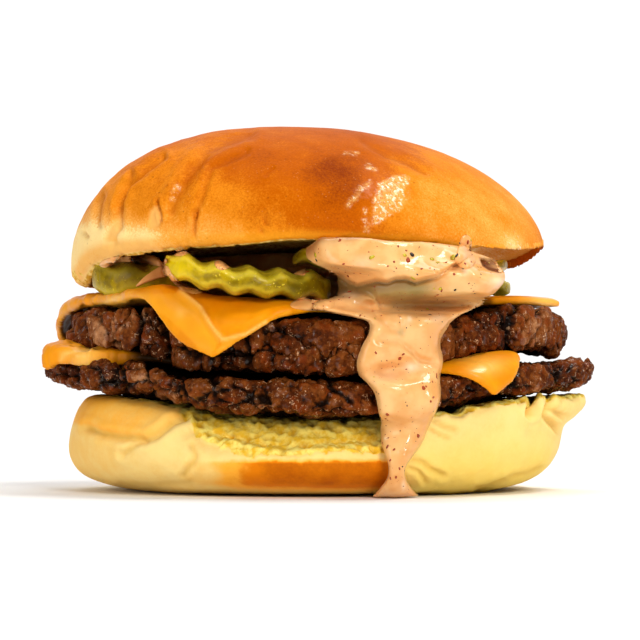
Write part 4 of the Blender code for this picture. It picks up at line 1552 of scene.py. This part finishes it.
class Sight:
    """Finds what the camera sees through a place on the front plane."""

    def __init__(self, pieces: Sequence[bpy.types.Object]) -> None:
        """Gathers the faces that can be seen.

        Args:
            pieces: the pieces that have them.
        """
        points, faces, start = [], [], 0
        for piece in pieces:
            mesh = piece.data
            mesh.calc_loop_triangles()
            points.append(read(mesh.vertices, "co", 3) / MM - SHIFT)
            faces.append(read(mesh.loop_triangles, "vertices", 3, np.int64) + start)
            start += len(mesh.vertices)
        self.tree = BVHTree.FromPolygons(np.vstack(points).tolist(), np.vstack(faces).tolist())
        self.eye = Vector((CAMERA_X, -CAMERA_DISTANCE, CAMERA_HEIGHT))

    def at(self, x: float, z: float) -> tuple[Vector, Vector] | None:
        """Looks through one place.

        Args:
            x: the place's x on the front plane.
            z: its z.

        Returns:
            The point seen and the way it faces, or None.
        """
        ray = Vector((x, FRONT_PLANE, z)) - self.eye
        hit, normal, _, _ = self.tree.ray_cast(self.eye, ray.normalized())
        if hit is None:
            return None
        return hit, normal if normal.dot(ray) < 0.0 else -normal


@dataclass
class Film:
    """Thin sauce that clings to what lies behind it.

    Args:
        name: the piece's name.
        outline: its outline on the front plane.
        thick: how thick it is in its middle, in millimetres.
        thin: how much of what is behind shows through, from 0 to 1.
        brown: how shadowed and brown it is, from 0 to 1.
        rings: how many rings of faces it has.
        around: how many faces a ring has.
    """

    name: str
    outline: tuple
    thick: float = 0.5
    thin: float = 0.3
    brown: float = 0.0
    rings: int = 12
    around: int = 72

    def build(self, sight: Sight, paint: Paint) -> bpy.types.Object:
        """Lays the film over what the camera sees.

        Args:
            sight: finds what is behind it.
            paint: the sauce's material.

        Returns:
            The piece.
        """
        corners = np.array(self.outline, float)
        corners = np.vstack((corners, corners[:1]))
        for _ in range(2):
            cut = 0.75 * corners[:-1] + 0.25 * corners[1:], 0.25 * corners[:-1] + 0.75 * corners[1:]
            corners = np.stack(cut, axis=1).reshape(-1, 2)
            corners = np.vstack((corners, corners[:1]))
        along = np.concatenate(([0.0], np.cumsum(np.linalg.norm(np.diff(corners, axis=0), axis=1))))
        stops = np.linspace(0.0, along[-1], self.around, endpoint=False)
        rim = np.column_stack([np.interp(stops, along, corners[:, k]) for k in range(2)])
        middle = rim.mean(axis=0)
        points, thin, brown = [], [], []
        for ring in range(self.rings + 1):
            share = math.sin(0.5 * math.pi * ring / self.rings)
            for place in [middle] if ring == 0 else middle + share * (rim - middle):
                found = sight.at(float(place[0]), float(place[1]))
                body = self.thick * math.sqrt(max(0.0, 1.0 - share**4))
                if found is None:
                    found = (Vector(points[-1]), Vector((0.0, 0.0, 0.0)))
                points.append(found[0] + found[1] * (FILM_GAP + body))
                thin.append(self.thin + (1.0 - self.thin) * 0.2 * share**6)
                brown.append(self.brown * float(smooth(47.0, 51.0, place[1]) * smooth(19.0, 8.0, place[0])))
        faces = [(0, 1 + (k + 1) % self.around, 1 + k) for k in range(self.around)]
        for ring in range(self.rings - 1):
            a = 1 + ring * self.around
            for k in range(self.around):
                following = (k + 1) % self.around
                faces.append((a + k, a + following, a + self.around + following, a + self.around + k))
        mesh = bpy.data.meshes.new(self.name)
        mesh.from_pydata([tuple((Vector(q) + Vector(SHIFT)) * MM) for q in points], [], faces)
        skin = Skin(mesh)
        skin.ease(3)
        skin.marks = {"thin": np.array(thin), "brown": np.array(brown)}
        for other in ("green", "hole", "recess", "shine"):
            skin.marks[other] = np.zeros(len(points))
        return skin.finish(self.name, paint, "sauce", None)


@dataclass
class Specks:
    """Bits of one kind scattered over the sauce.

    Args:
        name: the piece's name.
        colour: their colour.
        count: how many.
        small: the least radius in millimetres.
        large: the greatest radius.
        seed: picks the draw.
        placed: (x, z, radius) of the ones with a place of their own on the front plane.
        flat: how flat they lie, from 0 to 1.
    """

    name: str
    colour: Colour
    count: int
    small: float
    large: float
    seed: int
    placed: tuple = ()
    flat: float = 0.5

    def build(self, skins: Sequence[bpy.types.Object], sight: Sight) -> bpy.types.Object:
        """Scatters the bits.

        Args:
            skins: the pieces of sauce that carry them.
            sight: finds the ones with a place of their own.

        Returns:
            The piece.
        """
        draw = np.random.default_rng(self.seed)
        spots = []
        for x, z, radius in self.placed:
            found = sight.at(x, z)
            if found is not None:
                spots.append((np.array(found[0]), np.array(found[1]), radius))
        places, ways = [], []
        for piece in skins:
            places.append(read(piece.data.vertices, "co", 3) / MM - SHIFT)
            ways.append(read(piece.data.vertices, "normal", 3, np.float32).astype(float))
        place, way = np.vstack(places), np.vstack(ways)
        shown = np.flatnonzero((way[:, 1] < -0.15) & (place[:, 2] > 0.6) & (place[:, 1] < -30.0))
        for k in draw.choice(shown, self.count, replace=False):
            radius = self.small + (self.large - self.small) * draw.random() ** 2.5
            spots.append((place[k], way[k], radius))
        points, faces = [], []
        for centre, normal, radius in spots:
            self.bit(points, faces, centre, normal, radius, draw)
        mesh = bpy.data.meshes.new(self.name)
        mesh.from_pydata([tuple((q + SHIFT) * MM) for q in points], [], faces)
        mesh.shade_smooth()
        paint = Paint(self.name, Food.SPECK.value)
        shaded = tuple(0.45 * c for c in self.colour)
        paint.colour(paint.mix(paint.noise(0.8, 2.0), self.colour, shaded))
        return show(self.name, mesh, paint, None)

    def bit(
        self,
        points: list,
        faces: list,
        centre: Array,
        normal: Array,
        radius: float,
        draw: np.random.Generator,
    ) -> None:
        """Adds one flattened, uneven bit.

        Args:
            points: the points so far.
            faces: the faces so far.
            centre: its middle.
            normal: the way it faces.
            radius: its radius.
            draw: the seeded draw.
        """
        side = np.cross(normal, (0.3, 0.2, 1.0))
        side /= np.linalg.norm(side)
        up = np.cross(side, normal)
        long = 1.0 + 0.8 * draw.random()
        turn = draw.random() * math.pi
        start, ring = len(points), 7
        points.append(centre + normal * radius * self.flat)
        for k in range(ring):
            angle = 2.0 * math.pi * k / ring
            a = math.cos(angle) * long * (0.8 + 0.4 * draw.random())
            b = math.sin(angle) * (0.8 + 0.4 * draw.random())
            a, b = a * math.cos(turn) - b * math.sin(turn), a * math.sin(turn) + b * math.cos(turn)
            points.append(centre + radius * (a * side + b * up) + normal * radius * 0.12)
        points.append(centre - normal * radius * 0.4)
        for k in range(ring):
            following = (k + 1) % ring
            faces.append((start, start + 1 + k, start + 1 + following))
            faces.append((start + ring + 1, start + 1 + following, start + 1 + k))


@dataclass
class Studio:
    """The floor, the lights and the camera.

    Args:
        reach: how far the floor reaches to the sides, to the front and up, in metres.
        back: where it starts to curve up.
        turn: the curve's radius.
        steps: how many faces the curve has.
    """

    reach: float = 3.0
    back: float = 0.9
    turn: float = 0.5
    steps: int = 12

    def floor(self) -> None:
        """Makes a pale floor that curves up into a backdrop."""
        profile = [(-self.reach, 0.0), (self.back, 0.0)]
        for k in range(1, self.steps + 1):
            angle = math.radians(90.0 * k / self.steps)
            profile.append((self.back + self.turn * math.sin(angle), self.turn * (1.0 - math.cos(angle))))
        profile.append((self.back + self.turn, self.reach))
        points, faces = [], []
        for y, z in profile:
            points += [(-self.reach, y, z - FLOOR_DROP), (self.reach, y, z - FLOOR_DROP)]
        for k in range(len(profile) - 1):
            a = 2 * k
            faces.append((a, a + 1, a + 3, a + 2))
        mesh = bpy.data.meshes.new("floor")
        mesh.from_pydata(points, [], faces)
        mesh.shade_smooth()
        paint = Paint("floor_white", Finish(0.8))
        paint.colour((0.9, 0.9, 0.9))
        mesh.materials.append(paint.material)
        linked("floor", mesh)

    @staticmethod
    def lamp(
        name: str,
        place: Sequence[float],
        aim: Sequence[float],
        size: float,
        power: float,
        tint: Sequence[float],
    ) -> None:
        """Adds a soft square lamp.

        Args:
            name: its name.
            place: where it is, in metres.
            aim: where it points.
            size: its side in metres.
            power: its power in watts.
            tint: its colour.
        """
        data = bpy.data.lights.new(name, "AREA")
        data.shape = "SQUARE"
        data.size = size
        data.energy = power
        data.color = tuple(tint)
        lamp = linked(name, data)
        lamp.location = Vector(place)
        lamp.rotation_euler = (Vector(aim) - Vector(place)).to_track_quat("-Z", "Y").to_euler()

    def lights(self) -> None:
        """Adds the key, the front light and the pale surroundings."""
        middle = (0.0, 0.0, 0.04)
        self.lamp("key", (0.30, -0.10, 0.66), middle, 0.18, 2.2, (1.0, 0.97, 0.92))
        self.lamp("front", (0.30, -0.85, 0.40), middle, 0.22, 4.8, (1.0, 0.98, 0.94))
        self.lamp("fill", (-0.75, -0.5, 0.30), middle, 0.5, 2.5, (1.0, 0.97, 0.93))
        self.lamp("wall", (0.0, 0.45, 1.3), (0.0, 1.4, 0.25), 1.0, 14.0, (1.0, 1.0, 1.0))
        world = bpy.data.worlds.new("surroundings")
        world.use_nodes = True
        sky = world.node_tree.nodes["Background"]
        sky.inputs["Color"].default_value = (1.0, 1.0, 1.0, 1.0)
        sky.inputs["Strength"].default_value = 0.26
        bpy.context.scene.world = world

    @staticmethod
    def camera() -> None:
        """Places the camera at the photograph's viewing angle."""
        data = bpy.data.cameras.new("camera")
        data.lens = CAMERA_LENS
        data.sensor_width = CAMERA_SENSOR
        data.clip_start = 0.05
        data.clip_end = 20.0
        camera = linked("camera", data)
        camera.location = Vector((SHIFT[0] + CAMERA_X, SHIFT[1] - CAMERA_DISTANCE, CAMERA_HEIGHT)) * MM
        camera.rotation_euler = (math.radians(90.0 + CAMERA_PITCH), 0.0, 0.0)
        bpy.context.scene.camera = camera

    def build(self) -> None:
        """Makes the whole studio."""
        self.floor()
        self.lights()
        self.camera()
        bpy.context.scene.view_settings.view_transform = "Standard"


@dataclass
class Burger:
    """The whole burger, from the bottom up.

    Args:
        pieces: the pieces made so far, by name.
    """

    pieces: dict = field(default_factory=dict)

    def keep(self, piece: bpy.types.Object) -> None:
        """Remembers a piece."""
        self.pieces[piece.name] = piece

    def serve(self, *foods: Crown | Heel | Patty | Slice | Chip) -> None:
        """Builds, paints and keeps foods."""
        for food in foods:
            self.keep(food.dress(food.build()))

    def layers(self) -> None:
        """Makes the buns, the meat and the cheese."""
        self.serve(Heel(), Crown())
        lower = Patty(
            "patty_lower", "lower_patty", 101,
            clefts=(
                (((-39.8, 27.4), (-40.2, 24.6), (-39.2, 22.2)), 1.6, 0.6),
                (((-34.0, 26.6), (-27.9, 24.8), (-20.9, 23.6)), 0.9, 0.7),
                (((-11.6, 20.0), (-10.4, 19.2)), 2.4, 1.0),
                (((-44.1, 23.0), (-38.0, 22.4)), 1.4, 0.6),
                (((2.3, 23.0), (6.8, 19.0)), 0.9, 0.5),
                (((40.6, 25.8), (39.0, 22.2)), 1.2, 0.6),
                (((48.7, 26.2), (47.9, 21.8)), 1.0, 0.5),
            ),
            lumps=(
                (-34.6, 23.6, 4.0, 1.8, 1.2), (-28.7, 21.0, 4.0, 1.8, 1.0), (-18.0, 19.6, 5.0, 2.0, 0.6),
                (-2.0, 21.0, 5.0, 2.4, 0.7),
            ),
            pinkish=(
                (-36.0, 24.0, 3.0, 1.8, 0.4), (-30.0, 20.6, 4.0, 1.6, 0.4), (-14.0, 18.4, 5.0, 1.2, 0.35),
            ),
            reach=41.0,
        )
        upper = Patty(
            "patty_upper", "upper_patty", 202,
            clefts=(
                (((-35.8, 38.9), (-36.0, 35.5), (-36.4, 31.9), (-37.2, 28.6)), 2.4, 0.7),
                (((-30.6, 36.7), (-31.4, 33.1), (-30.4, 29.0)), 2.0, 0.6),
                (((-23.9, 29.8), (-19.5, 29.2), (-15.0, 28.6)), 2.6, 1.5),
                (((-14.6, 34.9), (-13.8, 29.0)), 1.8, 0.7),
                (((39.8, 38.7), (39.0, 34.9), (38.2, 30.9)), 1.4, 0.6),
                (((-27.9, 30.9), (-24.7, 28.7)), 1.2, 0.8),
            ),
            lumps=(
                (-42.1, 33.4, 4.5, 3.2, 1.2), (-33.6, 34.9, 2.2, 3.0, 0.9), (-27.3, 32.9, 2.6, 2.4, 1.2),
                (-3.7, 31.9, 7.0, 3.0, 0.8), (44.7, 33.4, 4.0, 3.0, 0.8), (32.6, 32.9, 4.0, 2.6, 0.5),
            ),
            pinkish=((-43.0, 34.6, 5.5, 2.8, 0.5), (-8.0, 29.6, 4.0, 1.4, 0.3), (45.0, 34.0, 6.0, 3.5, 0.4)),
            reach=40.0,
            sink=1.3,
        )
        self.serve(lower, upper)
        self.serve(
            Slice(
                "cheese_lower", "lower_cheese", 301,
                bands=(), ridges=((((-52.0, 29.0), (-45.0, 30.4)), 0.5, 0.7),),
                darker=((-46.0, 27.6, 3.0, 1.2, 0.6), (28.0, 26.0, 3.0, 1.0, 0.5)),
                gloss=(
                    (-47.1, 29.0, 3.0, 1.2, 1.0), (33.6, 26.6, 3.2, 1.8, 1.0), (29.0, 28.6, 2.0, 1.0, 0.6),
                ),
                sag=1.3, covered=1.0,
            ),
            Slice(
                "cheese_upper", "upper_cheese", 302,
                bands=(
                    (
                        (-36.8, 41.4), (-27.9, 41.4), (-23.7, 37.9), (-21.5, 34.5), (-19.3, 31.9),
                        (-21.7, 28.4), (-24.6, 30.4), (-28.0, 33.8), (-31.4, 36.8), (-35.6, 37.4),
                    ),
                    (
                        (-21.7, 28.4), (-19.3, 31.9), (-14.6, 33.1), (-10.6, 35.5), (-5.7, 38.3),
                        (-5.0, 37.0), (-10.4, 33.7), (-14.6, 30.6),
                    ),
                ),
                ridges=(
                    (((-27.9, 41.4), (-23.7, 37.9), (-21.5, 34.5), (-19.3, 31.9)), -0.4, 0.5),
                    (((-19.3, 31.9), (-14.6, 33.1), (-10.6, 35.5)), -0.35, 0.45),
                    (((-52.0, 33.0), (-47.0, 38.0), (-40.0, 40.6)), 0.5, 0.8),
                ),
                darker=(
                    (-22.0, 40.0, 5.0, 2.4, 0.9), (-14.0, 38.5, 5.0, 2.0, 0.7), (-24.0, 42.0, 4.0, 1.6, 0.8),
                ),
                gloss=(
                    (-49.0, 35.0, 3.0, 4.0, 1.0), (-40.0, 40.0, 4.0, 1.4, 0.7), (-28.0, 37.0, 1.0, 1.0, 0.4),
                    (45.6, 39.6, 4.0, 1.2, 1.0),
                ),
                arches=((-16.0, -43.0, 11.0, 7.0, 1.3), (-2.0, -44.0, 6.0, 6.0, 0.8)),
            ),
        )

    def pickles(self) -> None:
        """Makes the pickle chips."""
        self.serve(
            Chip(
                "pickle_left", (-34.2, -12.9, 46.2), 13.0, ((-46.0, 44.0, 1.2, 4.0, 0.6),),
                ((-35.5, 46.0, 5.0, 3.5, 0.9), (-42.0, 45.0, 3.0, 3.0, 0.35)), (-1.6, -1.5, -0.3), 1.0,
            ),
            Chip(
                "pickle_front", (-14.6, -36.6, 44.3), 17.3, ((-28.6, 46.5, 3.4, 4.0, 0.9),),
                ((-3.0, 42.0, 5.0, 4.0, 0.85), (-24.6, 48.2, 1.6, 1.0, 0.5), (-13.0, 44.0, 6.0, 3.0, 0.4)),
            ),
            Chip("pickle_upper_right", (10.0, -35.8, 49.1), 15.6, (), ((-4.5, 49.4, 2.0, 2.5, 0.7),)),
            Chip(
                "pickle_lower_right", (22.8, -32.6, 43.5), 17.2, ((38.4, 45.0, 1.0, 3.0, 0.5),),
                ((36.0, 42.0, 3.0, 2.5, 0.6), (37.6, 41.4, 2.0, 2.0, 0.5)),
            ),
            Chip("pickle_back_right", (28.4, -3.4, 48.6), 13.0),
        )

    def sauces(self) -> None:
        """Makes the sauce, its thin films and all that floats in it."""
        paint = Sauce.paint()
        for sauce in (Sauce("sauce", "sauce_drip"), Sauce("sauce_spread", "sauce_inside", 0.2)):
            self.keep(sauce.dress(sauce.build(), paint))
        sight = Sight(list(self.pieces.values()))
        films = (
            Film("film_horn", (
                (27.5, 47.6), (27.9, 49.6), (28.4, 51.4), (28.9, 52.8), (29.8, 53.2), (30.6, 52.7),
                (30.9, 51.4), (30.6, 50.0), (31.0, 48.6), (32.0, 47.4), (30.2, 46.0), (28.5, 46.4),
            ), 0.7, 0.05),
            Film("film_chip_left", (
                (-30.3, 49.8), (-27.6, 50.2), (-25.6, 49.9), (-26.8, 49.0), (-28.4, 48.7), (-29.7, 49.1),
            ), 0.25, 0.3),
            Film("film_chip_crest", (
                (-21.3, 47.6), (-19.9, 48.4), (-18.5, 48.0), (-17.4, 46.8), (-18.7, 46.0), (-20.3, 46.0),
            ), 0.15, 0.45),
            Film("film_band", (
                (-7.2, 46.8), (-5.7, 46.4), (-3.7, 47.0), (-2.4, 46.8), (-2.4, 44.8), (-4.5, 45.0),
                (-5.7, 45.6),
            ), 0.35, 0.15),
            Film("film_left", (
                (-44.3, 47.6), (-42.1, 48.6), (-39.6, 48.9), (-36.0, 48.7), (-32.6, 48.9), (-30.8, 49.0),
                (-30.4, 47.6), (-31.2, 46.6), (-32.8, 46.8), (-36.0, 47.6), (-38.4, 47.6), (-40.4, 47.6),
                (-42.5, 46.4), (-44.1, 46.6),
            ), 1.2, 0.25),
            Film("film_under_chip", (
                (-37.2, 42.4), (-36.1, 43.7), (-35.0, 44.8), (-32.6, 46.3), (-31.0, 47.2), (-30.0, 46.4),
                (-29.5, 44.8), (-32.0, 44.4), (-33.5, 43.9), (-35.4, 43.2),
            ), 0.4, 0.15),
            Film("film_cheese", (
                (-30.0, 46.0), (-28.7, 44.2), (-26.7, 43.0), (-23.9, 41.8), (-22.9, 41.6), (-24.7, 41.0),
                (-27.1, 41.6), (-28.7, 42.8), (-30.2, 44.4),
            ), 0.3, 0.2),
            Film("film_tongue", (
                (-6.2, 38.7), (-4.5, 40.2), (-1.7, 40.8), (1.1, 40.0), (3.5, 40.0), (3.1, 38.3),
                (-0.1, 37.7), (-3.7, 37.9),
            ), 0.3, 0.1),
        )
        for film in films:
            self.keep(film.build(sight, paint))
        sight = Sight(list(self.pieces.values()))
        coated = [self.pieces["sauce_drip"]] + [self.pieces[film.name] for film in films]
        bits = (
            Specks("specks_red", rgb(186, 66, 14), 300, 0.07, 0.25, 5, (
                (18.1, 48.0, 0.48), (-2.2, 45.6, 0.5), (16.4, 28.2, 0.4), (21.2, 22.2, 0.4),
                (13.9, 16.9, 0.36), (20.1, 12.6, 0.4), (13.9, 10.4, 0.3), (6.2, 41.6, 0.4),
                (30.2, 51.7, 0.3), (27.4, 45.2, 0.3),
            )),
            Specks("specks_black", rgb(36, 18, 14), 90, 0.06, 0.18, 6, (
                (18.9, 49.1, 0.52), (-0.4, 48.0, 0.34), (-1.6, 47.8, 0.3), (27.9, 48.9, 0.4),
                (22.5, 37.0, 0.28), (27.6, 42.0, 0.2), (24.0, 40.0, 0.2),
            )),
            Specks("bits_relish", rgb(226, 200, 34), 12, 0.15, 0.35, 7, (
                (22.9, 48.2, 0.6), (27.3, 48.6, 0.7), (19.1, 44.4, 0.45), (10.8, 48.6, 0.42),
                (17.4, 49.0, 0.4), (-0.6, 49.0, 0.4), (24.6, 42.2, 0.35),
            ), 0.2),
        )
        for kind in bits:
            self.keep(kind.build(coated, sight))

    def build(self) -> None:
        """Makes and paints every piece."""
        self.layers()
        self.pickles()
        self.sauces()


def main() -> None:
    """Dresses the burger and sets up the picture."""
    logging.basicConfig(level=logging.INFO, format="%(message)s")
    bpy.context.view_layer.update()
    Burger().build()
    Studio().build()


if __name__ == "__main__":
    main()
